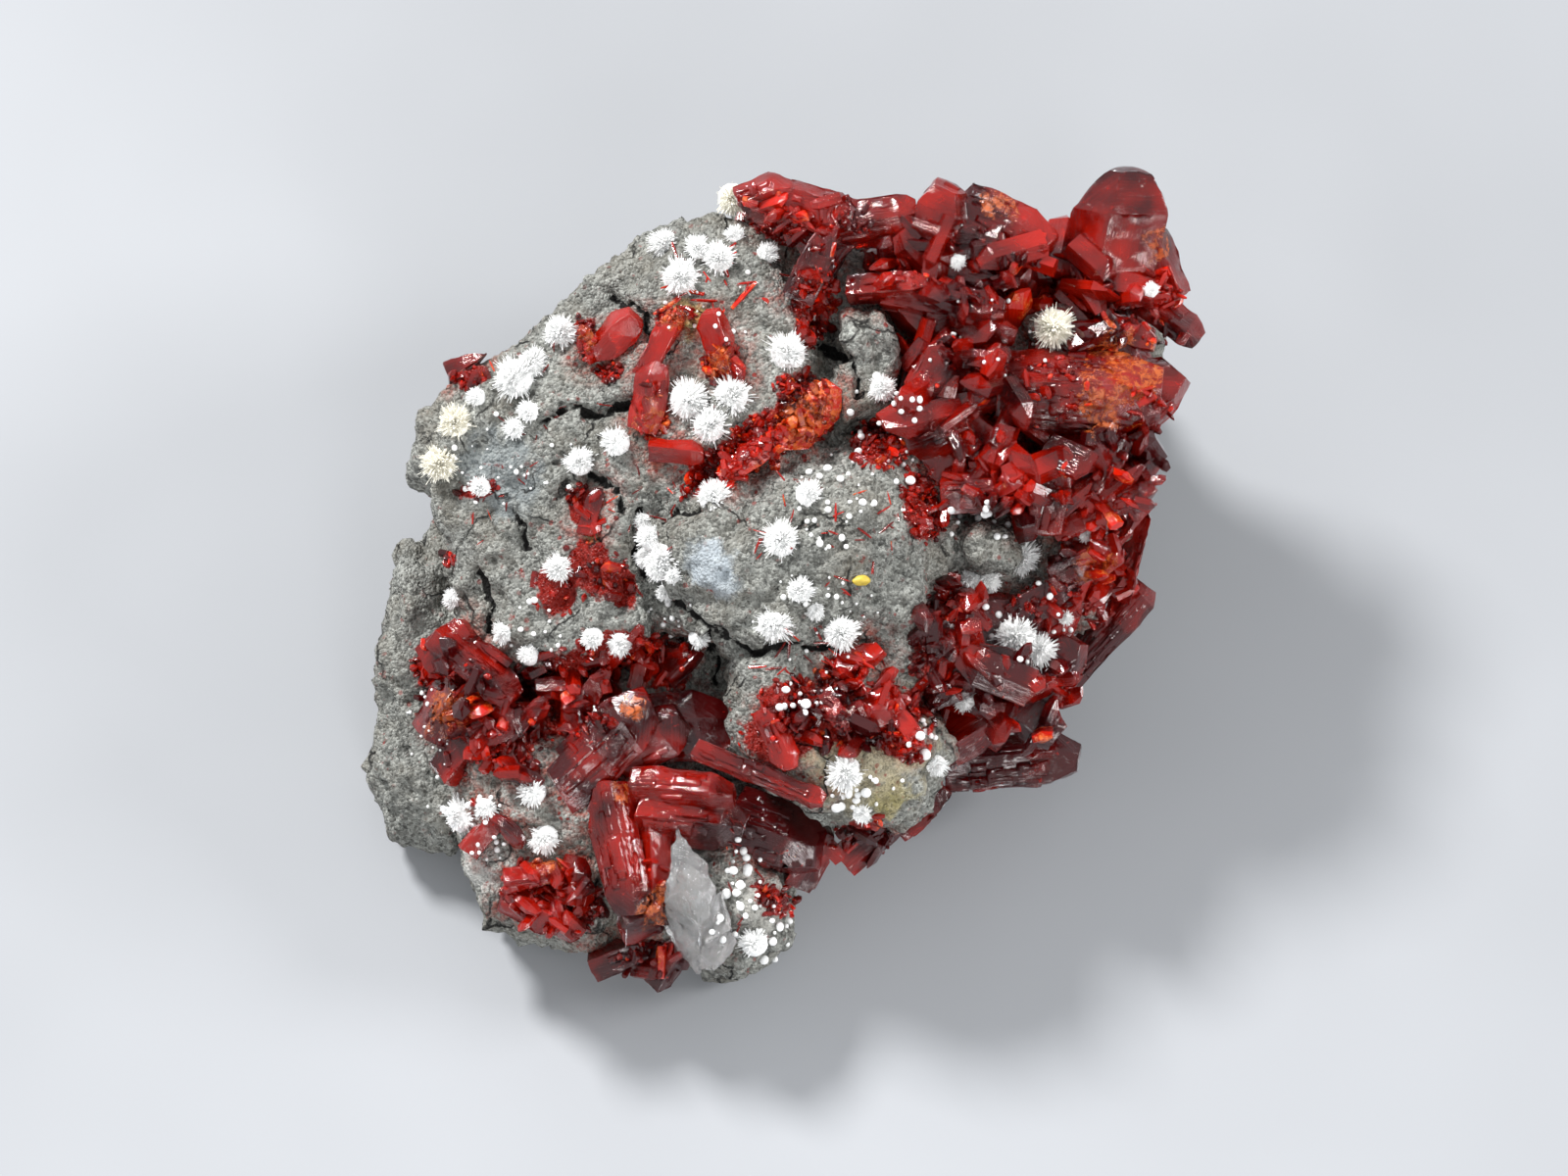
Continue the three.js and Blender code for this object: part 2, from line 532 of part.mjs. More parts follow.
// A needle spray as a low dome along z with a wavy rim, whose points reach the needles' tips.
function sprayForm(radius, random, grow) {
  const size = radius + grow;
  const dome = [
    { reach: [1, 0.84], rise: 0.2 },
    { reach: [0.56, 0.7], rise: 0.58 },
  ];
  const points = [new THREE.Vector3(0, 0, -0.3 * size - grow), new THREE.Vector3(0, 0, 0.82 * size)];
  for (const { reach, rise } of dome) {
    for (let ray = 0; ray < SPRAY_RAYS; ray++) {
      const angle = (ray / SPRAY_RAYS) * 2 * Math.PI;
      const out = size * reach[ray % 2] * (0.92 + 0.08 * random());
      points.push(new THREE.Vector3(out * Math.cos(angle), out * Math.sin(angle), size * rise));
    }
  }
  return new ConvexGeometry(points);
}

// Repeatable random numbers from 0 to 1.
function randomFrom(seed) {
  let state = seed;
  return () => {
    state = (state * 16807) % 2147483647;
    return state / 2147483647;
  };
}

// The highest point of a solid over a place on the face, with the normal there. Beside the solid it is
// that of the nearest place towards the face's middle.
function surfaceOf(solid) {
  const { vertProperties: at, triVerts } = solid.getMesh();
  const corner = (i) => new THREE.Vector3(...at.subarray(3 * i, 3 * i + 3));
  const triangles = [];
  for (let t = 0; t < triVerts.length; t += 3) {
    triangles.push(new THREE.Triangle(...Array.from(triVerts.subarray(t, t + 3), corner)));
  }
  const highest = (u, v) => {
    const ray = new THREE.Ray(new THREE.Vector3(u, v, 100), new THREE.Vector3(0, 0, -1));
    const found = { w: -Infinity, normal: new THREE.Vector3(0, 0, 1) };
    for (const triangle of triangles) {
      const hit = ray.intersectTriangle(triangle.a, triangle.b, triangle.c, true, new THREE.Vector3());
      if (hit && hit.z > found.w) {
        found.w = hit.z;
        triangle.getNormal(found.normal);
      }
    }
    return found;
  };
  return (u, v) => {
    let [found, pull] = [highest(u, v), 1];
    while (found.w === -Infinity) {
      pull -= 0.02;
      found = highest(u * pull, v * pull);
    }
    return found;
  };
}

// A group of crystals as one solid with the bed they have grown from, swollen by grow.
function crystalGroup({ crystals, form, beds = [], out = 1 }, surface, seed, grow) {
  const shape = form === "calcite" ? calciteForm : realgarForm;
  const random = randomFrom(seed);
  const solids = crystals.map(([u, v, length, width, thickness, turn, lift, w]) => {
    const geometry = shape(length, width, thickness, random, grow);
    const flat = width >= FLAT_CRYSTAL * thickness;
    geometry.rotateX(flat ? 0.5 * (random() - 0.5) : 2 * Math.PI * random());
    geometry.rotateY(-THREE.MathUtils.degToRad(lift));
    geometry.rotateZ(THREE.MathUtils.degToRad(turn));
    geometry.translate(u, v, w ?? surface(u, v).w + out);
    return faceToSolid(geometry);
  });
  return join([...solids, ...beds.map((bed) => crystalBed(bed, grow))]);
}

// The sprays of one node as one solid, each facing halfway between the rock's normal and the face's.
function sprayGroup(places, surface, seed, grow) {
  const random = randomFrom(seed);
  const upright = new THREE.Vector3(0, 0, 1);
  const solids = places.map(([u, v, radius]) => {
    const { w, normal } = surface(u, v);
    const axis = normal.clone().add(upright).normalize();
    const geometry = sprayForm(radius, random, grow);
    geometry.applyQuaternion(new THREE.Quaternion().setFromUnitVectors(upright, axis));
    geometry.translate(u, v, w);
    return faceToSolid(geometry);
  });
  return join(solids);
}

// The half of space below the base, in the face's frame.
function groundBlock() {
  const reach = 300;
  const geometry = new THREE.BoxGeometry(reach, reach, reach);
  geometry.translate(0, 0, -reach / 2);
  geometry.applyMatrix4(specimen.matrix.clone().invert());
  return faceToSolid(geometry);
}

const specimen = new THREE.Group();
const lean = THREE.MathUtils.degToRad(FACE_LEAN);
specimen.rotation.x = lean;
specimen.position.set(-BASE_MIDDLE[0], -BASE_MIDDLE[1], FACE_HEIGHT * Math.cos(lean));
specimen.updateMatrix();

const blocks = join(ROCK_BLOCKS.map(rockBlock));
const rock = blocks.subtract(join(CRACKS.map(crack))).simplify(ROCK_DETAIL);
const beds = CRYSTAL_GROUPS.flatMap((group) => group.beds ?? []);
const surface = surfaceOf(join([rock, ...beds.map((bed) => crystalBed(bed, 0))]));

const growths = CRYSTAL_GROUPS.map((group, i) => ({
  name: group.name,
  material: group.material ?? REALGAR,
  grown: (grow) => crystalGroup(group, surface, 101 + 7 * i, grow),
}));
Object.entries(SPRAYS).forEach(([name, places], i) => {
  growths.push({ name, material: NEEDLES, grown: (grow) => sprayGroup(places, surface, 501 + 7 * i, grow) });
});

function addPiece(name, solid, material) {
  const mesh = new THREE.Mesh(solidToGeometry(solid), material);
  mesh.name = name;
  specimen.add(mesh);
}

let taken = join([groundBlock(), rock, swell(rock, ROCK_GAP)]);
for (const { name, material, grown } of growths) {
  addPiece(name, largestBody(grown(0).subtract(taken).simplify(CUT_DETAIL)), material);
  taken = taken.add(grown(GAP));
}
addPiece("matrix", largestBody(rock.subtract(groundBlock())), ROCK);

const root = new THREE.Group();
root.add(specimen);
export default root;
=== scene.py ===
import math
import random

import bmesh
import bpy
from bpy.props import FloatProperty, FloatVectorProperty, IntProperty, PointerProperty
from mathutils import Matrix, Vector
from mathutils.bvhtree import BVHTree
from mathutils.noise import noise_vector, seed_set


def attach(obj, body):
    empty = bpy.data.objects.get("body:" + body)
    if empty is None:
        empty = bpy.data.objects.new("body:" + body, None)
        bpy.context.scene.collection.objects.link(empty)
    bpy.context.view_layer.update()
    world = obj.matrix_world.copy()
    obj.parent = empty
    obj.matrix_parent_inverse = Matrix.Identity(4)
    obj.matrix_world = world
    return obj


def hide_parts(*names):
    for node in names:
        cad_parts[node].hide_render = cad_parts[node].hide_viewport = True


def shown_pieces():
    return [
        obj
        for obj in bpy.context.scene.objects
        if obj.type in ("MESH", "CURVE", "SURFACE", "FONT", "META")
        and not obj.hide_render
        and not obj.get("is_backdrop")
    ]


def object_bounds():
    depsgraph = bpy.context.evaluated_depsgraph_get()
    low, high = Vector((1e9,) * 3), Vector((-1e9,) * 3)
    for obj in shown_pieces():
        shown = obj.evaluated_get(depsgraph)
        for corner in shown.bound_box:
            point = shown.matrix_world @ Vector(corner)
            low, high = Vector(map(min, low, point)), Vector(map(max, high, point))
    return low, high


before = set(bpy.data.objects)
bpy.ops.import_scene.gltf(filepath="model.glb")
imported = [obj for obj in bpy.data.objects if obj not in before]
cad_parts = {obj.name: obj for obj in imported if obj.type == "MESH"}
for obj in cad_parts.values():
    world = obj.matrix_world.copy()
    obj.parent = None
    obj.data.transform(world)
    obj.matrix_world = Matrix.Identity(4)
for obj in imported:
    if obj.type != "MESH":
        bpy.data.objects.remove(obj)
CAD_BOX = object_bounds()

bl_info = {
    "name": "Realgar on matrix",
    "version": (1, 0, 0),
    "blender": (4, 5, 0),
    "location": "3D View > Sidebar > Mineral",
    "description": "Realgar crystals, white needle sprays and calcite on grey rock",
    "category": "Add Mesh",
}

MM = 0.001

# The face of the specimen leans back. Places on it are given in mm as u to the right, v up the face
# and w out of it, from the face's middle.
FACE_LEAN = math.radians(20)
FACE_MIDDLE = Vector((5.5, -9, 35.709)) * MM
ACROSS = Vector((1, 0, 0))
UP_FACE = Vector((0, math.cos(FACE_LEAN), math.sin(FACE_LEAN)))
OUT_OF_FACE = Vector((0, -math.sin(FACE_LEAN), math.cos(FACE_LEAN)))

# Sprays that stand on a solid of their own: node, then u, v and radius of each spray, in mm.
SPRAYS = {
    "spray_top": [(-6.4, 48.2, 2.6)],
    "spray_top_left": [(-14.6, 42.4, 2.4)],
    "spray_upper_ridge": [(-10.6, 41.6, 2), (-8, 40.4, 2.6)],
    "spray_upper_fan": [(-12.8, 38, 3)],
    "spray_upper_left": [(-27.6, 31.4, 2.8)],
    "spray_left_ridge": [(-33, 25.8, 3.4), (-31, 27.6, 2.4)],
    "spray_left_edge": [(-42.4, 15.4, 3)],
    "spray_left_edge_high": [(-40.4, 20.2, 2.8)],
    "spray_left_round": [(-25, 15.4, 2.4)],
    "spray_triple": [(-11.8, 23, 3.3), (-6.4, 23.4, 3.2), (-9, 19.8, 3)],
    "spray_upper_round": [(0.4, 28.6, 3.2)],
    "spray_right_tuft": [(12, 24.4, 2.2)],
    "spray_middle_left": [(-8.6, 11, 2.7)],
    "spray_centre": [(-0.4, 5.8, 3)],
    "spray_left_low": [(-27.4, 2.4, 2.4)],
    "spray_bulge_edge": [(-14.6, 3.6, 2.8)],
    "spray_lower_high": [(1.8, -0.4, 2.2)],
    "spray_lower_left": [(-1.2, -4.4, 2.8)],
    "spray_lower_round": [(6.8, -5.4, 2.9)],
    "spray_right_largest": [(33, 32, 3.4)],
    "spray_island": [(29.2, 3.8, 2.8)],
    "spray_right_low": [(28.4, -6, 3.4), (31.4, -7.6, 2.6)],
    "spray_low_round": [(7.6, -22.4, 2.8)],
}
CREAM_SPRAYS = ("spray_right_largest", "spray_top", "spray_left_edge", "spray_left_edge_high")

# Smaller sprays that lie on the rock alone: u, v and radius, in mm.
SMALL_SPRAYS = [
    (-7.8, 40.6, 1.7), (-2.2, 41, 1.8), (-33, 19.6, 1.8), (-31.2, 21.6, 1.8), (-20.4, 17.8, 2.4),
    (-37.2, 12.4, 1.7), (2.8, 11.4, 2.2), (-15.4, 2.4, 2.2), (-16.2, 6, 2.2), (3.8, -2.6, 1.5),
    (-34.4, -5.4, 1.8), (-31.2, -8.4, 1.8), (-23.4, -6, 1.9), (-20.2, -6.6, 2.2), (-10.6, -6, 1.7),
    (-40.6, -1.2, 1.7), (-30.8, -25, 2.4), (-29.4, -30.6, 2.4), (-39.6, -28.2, 3), (21.2, 40, 1.3),
    (45, 36.4, 1.3), (22.8, 1.2, 1.9), (25.2, 1.2, 1.9), (34.6, -3.6, 1.3), (22.2, -13.8, 1.9),
    (18.6, -21.6, 1.8), (-3.6, -43.8, 2.4), (37.2, 6.6, 1.3), (-36.6, -27, 1.9), (-6, 43.2, 1.6),
    (-37.6, 23.4, 1.6), (9.4, -27.6, 1.6), (-17.2, 8.2, 1.5), (-14.4, -0.4, 1.5), (-17, 4, 1.7),
    (-13.6, 1.4, 1.3),
]

# Strewn white balls: u, v, half width and half height of the patch, turn in degrees, count, smallest
# and largest radius, all lengths in mm.
BALL_PATCHES = [
    (12, 21, 5, 5.5, 0, 14, 0.3, 0.85), (10.5, 14, 7, 5, -20, 18, 0.15, 0.6),
    (24, 8, 5, 2.6, 0, 14, 0.3, 0.6), (6, 9, 6, 6.5, 30, 26, 0.18, 0.5),
    (-6, -37, 3.2, 7, -15, 34, 0.25, 0.65), (-1, -42.5, 4, 4, 0, 14, 0.25, 0.7),
    (9, -25, 6, 2.4, 12, 22, 0.25, 0.7), (2.4, -13.6, 4.5, 2.2, 0, 12, 0.25, 0.65),
    (-36.5, -30, 3.6, 4.6, 20, 20, 0.2, 0.55), (-33, 15, 8, 7, 0, 26, 0.15, 0.4),
    (-14, -3, 3, 4.4, 0, 12, 0.2, 0.5), (-31, -5, 5, 4, 0, 14, 0.2, 0.45),
    (26, 30, 9, 7, 0, 14, 0.2, 0.5), (-10, 33, 10, 7, 0, 16, 0.15, 0.35),
    (5, -4, 9, 7, 0, 26, 0.15, 0.42), (30, -2, 6, 7, 0, 14, 0.2, 0.5),
    (-43.5, -20, 3, 9, 10, 18, 0.15, 0.4), (16.8, -18.4, 2.4, 2.4, 0, 10, 0.3, 0.8),
]

# Crusts of small realgar crystals: u, v, half width and half height of the patch, turn in degrees,
# count, shortest and longest crystal, all lengths in mm.
CRYSTAL_PATCHES = [
    (23, 39, 13, 5.4, -8, 115, 1.4, 4.6), (21.5, 26, 7.4, 9, 0, 100, 1.4, 4.6),
    (34, 38, 8, 4, -10, 60, 1.4, 4.4), (40, 33, 8, 3.6, -6, 70, 1, 3),
    (29, 14.4, 9, 5, 0, 76, 1.2, 4.4), (40, 13, 6.6, 8, 0, 76, 1.2, 4.2),
    (37.5, 1.6, 5.4, 6, 0, 80, 1, 3.4), (20, -6, 4.6, 7.6, -15, 90, 1.2, 4),
    (29, -13, 7, 5.4, -20, 60, 1.4, 4.2), (32, -1.8, 4, 2.6, 0, 30, 1, 2.6),
    (9.4, -15.4, 11, 4, 4, 110, 0.8, 3), (1, -14, 5, 3.4, 10, 36, 0.7, 1.8),
    (17, 10, 2.6, 5, 12, 60, 0.7, 2), (-40.4, -14.6, 4.4, 8.6, 12, 80, 1, 3.2),
    (-34, -15, 4.4, 7, 20, 60, 1, 3.4), (-26, -13.4, 6, 6.6, 0, 80, 1, 3.2),
    (-20, -7.4, 6, 2.6, -4, 46, 0.8, 2.4), (-14, -9.4, 3.4, 3.6, 0, 24, 0.8, 2.2),
    (-28.6, -38.2, 6.6, 4.4, -15, 90, 0.9, 3.2), (-3.6, 17.6, 11.5, 3, 36, 150, 0.6, 2.2),
    (2.4, 22.6, 3.4, 5, 30, 70, 0.6, 2), (3.6, 35.4, 2.8, 7, -8, 80, 0.8, 2.6),
    (-1.6, 45.6, 5, 2.6, -30, 60, 0.8, 2.6), (5.6, 45.4, 6, 2.4, 0, 40, 0.9, 3),
    (-24.6, 9.6, 2.2, 3.4, 20, 12, 0.6, 2), (-23.4, 2.4, 3.2, 4.4, 30, 10, 0.6, 1.8),
    (-20, 0.6, 2.2, 4, 24, 10, 0.6, 2), (-16.2, 22, 2.4, 4.2, 6, 50, 0.6, 1.8),
    (-13.6, 33.4, 2.6, 1.2, 10, 20, 0.4, 1.2), (-7.8, 27.8, 2.4, 2.6, -30, 40, 0.6, 1.6),
    (11.6, 17.6, 3.8, 3.2, -20, 60, 0.6, 1.8), (-21.4, 26.4, 1.8, 1.2, 0, 14, 0.6, 1.5),
    (-18, -46, 6.4, 2, 12, 50, 1, 3), (-33.4, -21.6, 4.2, 2, -24, 50, 0.7, 2.2),
    (14.6, -19.4, 4, 1.8, -16, 40, 0.6, 1.8), (-1, -38.6, 3.4, 1.6, -34, 34, 0.6, 1.6),
    (-15.6, -36.4, 1.6, 4.4, 0, 26, 0.6, 1.8), (47, 35, 2.6, 5, 20, 40, 0.9, 2.6),
    (-24.4, 31, 1.8, 3, 20, 24, 0.6, 1.6), (-41.4, 3.6, 1.2, 1, -30, 10, 0.5, 1.2),
    (-37.6, 12, 3, 1.2, 10, 14, 0.5, 1.4), (-38.6, 26, 2.4, 1.6, 20, 16, 0.7, 1.8),
    (-44.6, -9.6, 1.6, 3, 0, 10, 0.5, 1.2), (6.8, -10.2, 3.4, 2.2, 20, 30, 0.7, 2.2),
    (30, 24, 8, 5, 0, 34, 0.8, 2.2), (43.6, 21, 4, 5, 0, 40, 0.8, 2.4),
    (-0.6, -18.4, 5, 4.6, 0, 14, 0.6, 2.2), (9.4, -31.6, 4.4, 3.4, 30, 50, 1, 2.8),
    (-28, 0, 3, 4, 0, 8, 0.5, 1.5),
]

# Thin red splinters that lie on bare rock: u, v, half width and half height, turn, count and lengths.
SPLINTER_PATCHES = [
    (-8, 38, 9, 4.4, 0, 22, 1, 3.2), (-18, 8, 7, 8, 0, 22, 0.7, 1.8),
    (-30, 24, 8, 6, 0, 12, 0.6, 1.5), (4, -9, 9, 3.4, 0, 26, 0.8, 2.2),
    (0, 8, 8, 7, 0, 14, 0.6, 1.5), (-6, -34, 3, 8, 0, 14, 0.7, 1.6),
    (10, 4, 6, 8, 0, 18, 0.7, 1.8), (-34, 10, 6, 8, 0, 12, 0.6, 1.4),
]

# Open cracks in the rock, as places on the face in mm, with half their width, how far they stray from
# their lines, and the lowest w at which they open.
CRACK_HALF_WIDTH = 0.9
CRACK_STRAY = 0.9
CRACK_LOWEST = -12
CRACK_LINES = [
    [(-17.9, 9), (-17.8, 2.6), (-14.2, -1.6), (-9.3, -5), (-4.3, -8.2), (0.2, -7.3), (8.8, -7.7)],
    [(-9.3, -5.2), (-7.9, -12)], [(-30, 20), (-26.1, 22.2), (-22.9, 20.8), (-18.4, 22.6)],
    [(-14.8, 9), (-12.6, 9.6), (-10.7, 9)], [(-33, 9.4), (-32.4, 7.4), (-31.5, 5)],
    [(-38, 2), (-36, -2), (-36.4, -6)], [(-24, 13.6), (-21, 12), (-19.4, 9.4)],
    [(5, 30), (8.4, 27.4), (9, 24)], [(-21.6, 36), (-17, 33.6), (-16, 30.4)],
]

# Stained places of the rock: u, v and radius in mm, colour and strength.
ROCK_STAINS = [
    (-12.2, 33, 3, (0.42, 0.3, 0.05), 0.65), (-23.6, 5, 1.6, (0.5, 0.34, 0.05), 0.7),
    (12.8, -25.6, 3.6, (0.48, 0.4, 0.12), 0.65), (9.6, -20, 9, (0.5, 0.43, 0.28), 0.75),
    (-9.4, 3, 3.5, (0.52, 0.58, 0.63), 0.75), (-7.2, 0.2, 2.2, (0.52, 0.58, 0.63), 0.65),
    (-35, 14, 6, (0.26, 0.3, 0.32), 0.5), (-39.5, -29, 4.2, (0.75, 0.74, 0.7), 0.8),
    (-37.6, -34.2, 4, (0.7, 0.69, 0.65), 0.6), (-2.4, -37.6, 5, (0.6, 0.58, 0.53), 0.6),
]

# How far red specks and red dust spread from the crystals over the rock, in mm.
SPECK_REACH = 12
DUST_REACH = 3.4

# Places where the realgar has altered to orange and gold crumbs, with the radius in mm.
ALTERED_PLACES = [
    (43, 27, 6), (39.4, 22.6, 4.6), (2.6, 21, 4.6), (5, 22.4, 3), (-42, -15.4, 4), (-18.4, -14.4, 2),
    (-15.6, -39.6, 3.4), (-13, 33.2, 2.4), (-16, 20.4, 3), (-8, 27.4, 2.6), (26.4, 47, 3),
    (46.2, 42.6, 2.8), (-20, -25, 2.2), (38, 3, 3), (-29, -34, 2.6), (-24.4, 31, 2),
]

# Name, brightness, alteration and transmission of each red.
REDS = [
    ("Deep realgar", 0.3, 0.0, 0.55),
    ("Bright realgar", 0.7, 0.03, 0.55),
    ("Altered realgar", 0.85, 0.2, 0.15),
    # The dark red also stands as painted shade on the large crystals underneath.
    ("Dark realgar", 0.02, 0.0, 0.4),
]
REALGAR_IOR = 1.6
CALCITE_IOR = 1.55

# Large crystals by their realgar_ node: the dark ones, where the dark red of the crystals underneath
# is painted shade, the clear bright ones, the altered one, and those with rounded edges. The others
# are deep red with sharp edges.
DARK_AND_SHADED = (
    "dark_plate", "crust_deep_red", "crust_right_edge", "under_slab", "under_prism", "bottom_edge",
    "under_middle",
)
CLEAR_BRIGHT = ("boat", "low_middle", "tablet", "below_spray", "upper_left", "upper_middle", "upper_right")
ALTERED = ("orange_ridge",)
ROUNDED = (
    "upper_left", "upper_middle", "upper_right", "crust_top_right", "boat", "orange_ridge", "low_middle",
)

# Crystals whose top edge is worn to an arch: u of its middle, v of its top, half its width and its fall.
CRESTS = {"crust_top_right": (42.1, 51.9, 6.5, 5.5)}

# Areas from which a face counts as large: to carry growth steps, and to stay clean of small crystals on
# a crust and on any other crystal. CLEAN_SHARE of the small crystals that fall on such a face are left out.
STEP_FACE = 4 * MM * MM
CLEAN_CRUST_FACE = 8 * MM * MM
CLEAN_CRYSTAL_FACE = 3 * MM * MM
CLEAN_SHARE = 0.82

# Room that small crystals keep under the top of the part.
TOP_ROOM = 0.6 * MM

# How often the deep, bright, altered and dark red come up in patches of fine and of coarse crystals.
FINE_REDS = (4, 6, 2, 1)
COARSE_REDS = (8, 3, 1, 4)

CRACKS_SEED, STEPS_SEED, CRYSTALS_SEED, SPRAYS_SEED, BALLS_SEED = 4, 5, 31, 7, 12

# Lights: name, place, size, and power as a share of the main light's.
LIGHTS = [
    ("main_light", (-0.75, 0.85, 1.1), 0.36, 1.0), ("side_light", (1.35, 0.1, 0.8), 0.5, 0.4),
    ("front_light", (0.3, -1.5, 0.9), 0.5, 0.22),
]


class RockSettings(bpy.types.PropertyGroup):
    mesh_size: FloatProperty(
        name="Mesh size", description="Size of the smallest modelled grain of the rock",
        default=0.00062, min=0.0003, max=0.003, unit="LENGTH", precision=5,
    )
    lump_height: FloatProperty(
        name="Lump height", description="Height of the crumbly lumps of the rock",
        default=0.0021, min=0, max=0.004, unit="LENGTH", precision=5,
    )
    grit_height: FloatProperty(
        name="Grit height", description="Height of the sandy grit of the rock",
        default=0.0012, min=0, max=0.003, unit="LENGTH", precision=5,
    )
    dark: FloatVectorProperty(
        name="Dark grains", description="Colour of the dark grains", subtype="COLOR",
        default=(0.085, 0.087, 0.08), min=0, max=1,
    )
    light: FloatVectorProperty(
        name="Light grains", description="Colour of the light grains", subtype="COLOR",
        default=(0.52, 0.53, 0.49), min=0, max=1,
    )
    warm: FloatVectorProperty(
        name="Warm patches", description="Colour of the warmer patches of the rock", subtype="COLOR",
        default=(0.2, 0.175, 0.135), min=0, max=1,
    )
    crust: FloatVectorProperty(
        name="Red crust", description="Colour of the thin red crust under small crystals", subtype="COLOR",
        default=(0.25, 0.008, 0.003), min=0, max=1,
    )
    dust: FloatVectorProperty(
        name="Red dust", description="Colour of the dust round the crystals", subtype="COLOR",
        default=(0.4, 0.04, 0.012), min=0, max=1,
    )


class RealgarSettings(bpy.types.PropertyGroup):
    edge_width: FloatProperty(
        name="Edge width", description="Width of the worn edges of the crystals",
        default=0.0002, min=0, max=0.001, unit="LENGTH", precision=5,
    )
    deep: FloatVectorProperty(
        name="Deep red", description="Colour of the thick clear parts", subtype="COLOR",
        default=(0.07, 0.0012, 0.0016), min=0, max=1,
    )
    bright: FloatVectorProperty(
        name="Bright red", description="Colour of the thin lit parts", subtype="COLOR",
        default=(0.64, 0.012, 0.002), min=0, max=1,
    )
    orange: FloatVectorProperty(
        name="Orange", description="Colour of the altered places", subtype="COLOR",
        default=(0.85, 0.17, 0.02), min=0, max=1,
    )
    crowding: FloatProperty(
        name="Crowding", description="How many small crystals there are, against the usual number",
        default=1.0, min=0, max=3,
    )


class SpraySettings(bpy.types.PropertyGroup):
    needles: IntProperty(
        name="Needles", description="Needles in one spray", default=520, min=20, max=2000,
    )
    needle_width: FloatProperty(
        name="Needle width", description="Width of a needle at its foot",
        default=0.00022, min=0.00005, max=0.001, unit="LENGTH", precision=5,
    )
    colour: FloatVectorProperty(
        name="White", description="Colour of the needles and balls", subtype="COLOR",
        default=(0.98, 0.98, 0.97), min=0, max=1,
    )
    cream: FloatVectorProperty(
        name="Cream", description="Colour of the sprays that have yellowed", subtype="COLOR",
        default=(0.93, 0.9, 0.8), min=0, max=1,
    )


class CalciteSettings(bpy.types.PropertyGroup):
    edge_width: FloatProperty(
        name="Edge width", description="Width of the soft edges of the calcite",
        default=0.0004, min=0, max=0.002, unit="LENGTH", precision=5,
    )
    tint: FloatVectorProperty(
        name="Tint", description="Colour of the milky veils", subtype="COLOR",
        default=(0.86, 0.84, 0.83), min=0, max=1,
    )


class StageSettings(bpy.types.PropertyGroup):
    camera_distance: FloatProperty(
        name="Camera distance", description="From the camera to the middle of the face",
        default=1.067, min=0.3, max=3, unit="LENGTH",
    )
    light_power: FloatProperty(
        name="Light power", description="Power of the main soft light", default=36, min=0, max=300,
        unit="POWER",
    )
    floor: FloatVectorProperty(
        name="Floor", description="Colour of the floor", subtype="COLOR",
        default=(0.4, 0.41, 0.43), min=0, max=1,
    )


def on_face(u, v, w=0.0):
    """A place on the leaning face, from mm in the face's frame to metres in the part's frame."""
    return FACE_MIDDLE + (ACROSS * u + UP_FACE * v + OUT_OF_FACE * w) * MM


def in_face(place):
    """The u, v and w in mm of a place in the part's frame."""
    offset = (place - FACE_MIDDLE) / MM
    return offset.dot(ACROSS), offset.dot(UP_FACE), offset.dot(OUT_OF_FACE)


def clamp(value):
    return min(max(value, 0), 1)


def deselect_all():
    if bpy.context.mode != "OBJECT":
        bpy.ops.object.mode_set(mode="OBJECT")
    bpy.ops.object.select_all(action="DESELECT")


def make_active(piece):
    deselect_all()
    piece.select_set(True)
    bpy.context.view_layer.objects.active = piece


def realgar_nodes():
    return [node for name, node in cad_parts.items() if name.startswith("realgar")]


def copy_of_node(node, name):
    """A copy of a CAD node's mesh under a new name, with its loose triangles joined."""
    piece = bpy.data.objects.new(name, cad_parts[node].data.copy())
    bpy.context.scene.collection.objects.link(piece)
    piece.data.materials.clear()
    make_active(piece)
    bpy.ops.object.mode_set(mode="EDIT")
    bpy.ops.mesh.select_all(action="SELECT")
    bpy.ops.mesh.remove_doubles(threshold=1e-6)
    bpy.ops.object.mode_set(mode="OBJECT")
    bpy.ops.object.shade_flat()
    return piece


def apply_modifier(piece, kind, **settings):
    make_active(piece)
    modifier = piece.modifiers.new(kind.title(), kind)
    for name, value in settings.items():
        setattr(modifier, name, value)
    bpy.ops.object.modifier_apply(modifier=modifier.name)


def lay_waves(piece, size, height, depth=2, contrast=1.0, **settings):
    """Displaces a piece by cloudy waves of a size and height."""
    texture = bpy.data.textures.new("waves", "CLOUDS")
    texture.noise_scale = size
    texture.noise_depth = depth
    texture.contrast = contrast
    apply_modifier(
        piece, "DISPLACE", texture=texture, texture_coords="LOCAL", strength=height, **settings,
    )


def finish_piece(piece, material, replaced=()):
    """Hands a finished piece to the frame with its finish."""
    if material is not None:
        piece.data.materials.clear()
        piece.data.materials.append(material)
    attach(piece, "root")
    if replaced:
        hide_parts(*replaced)


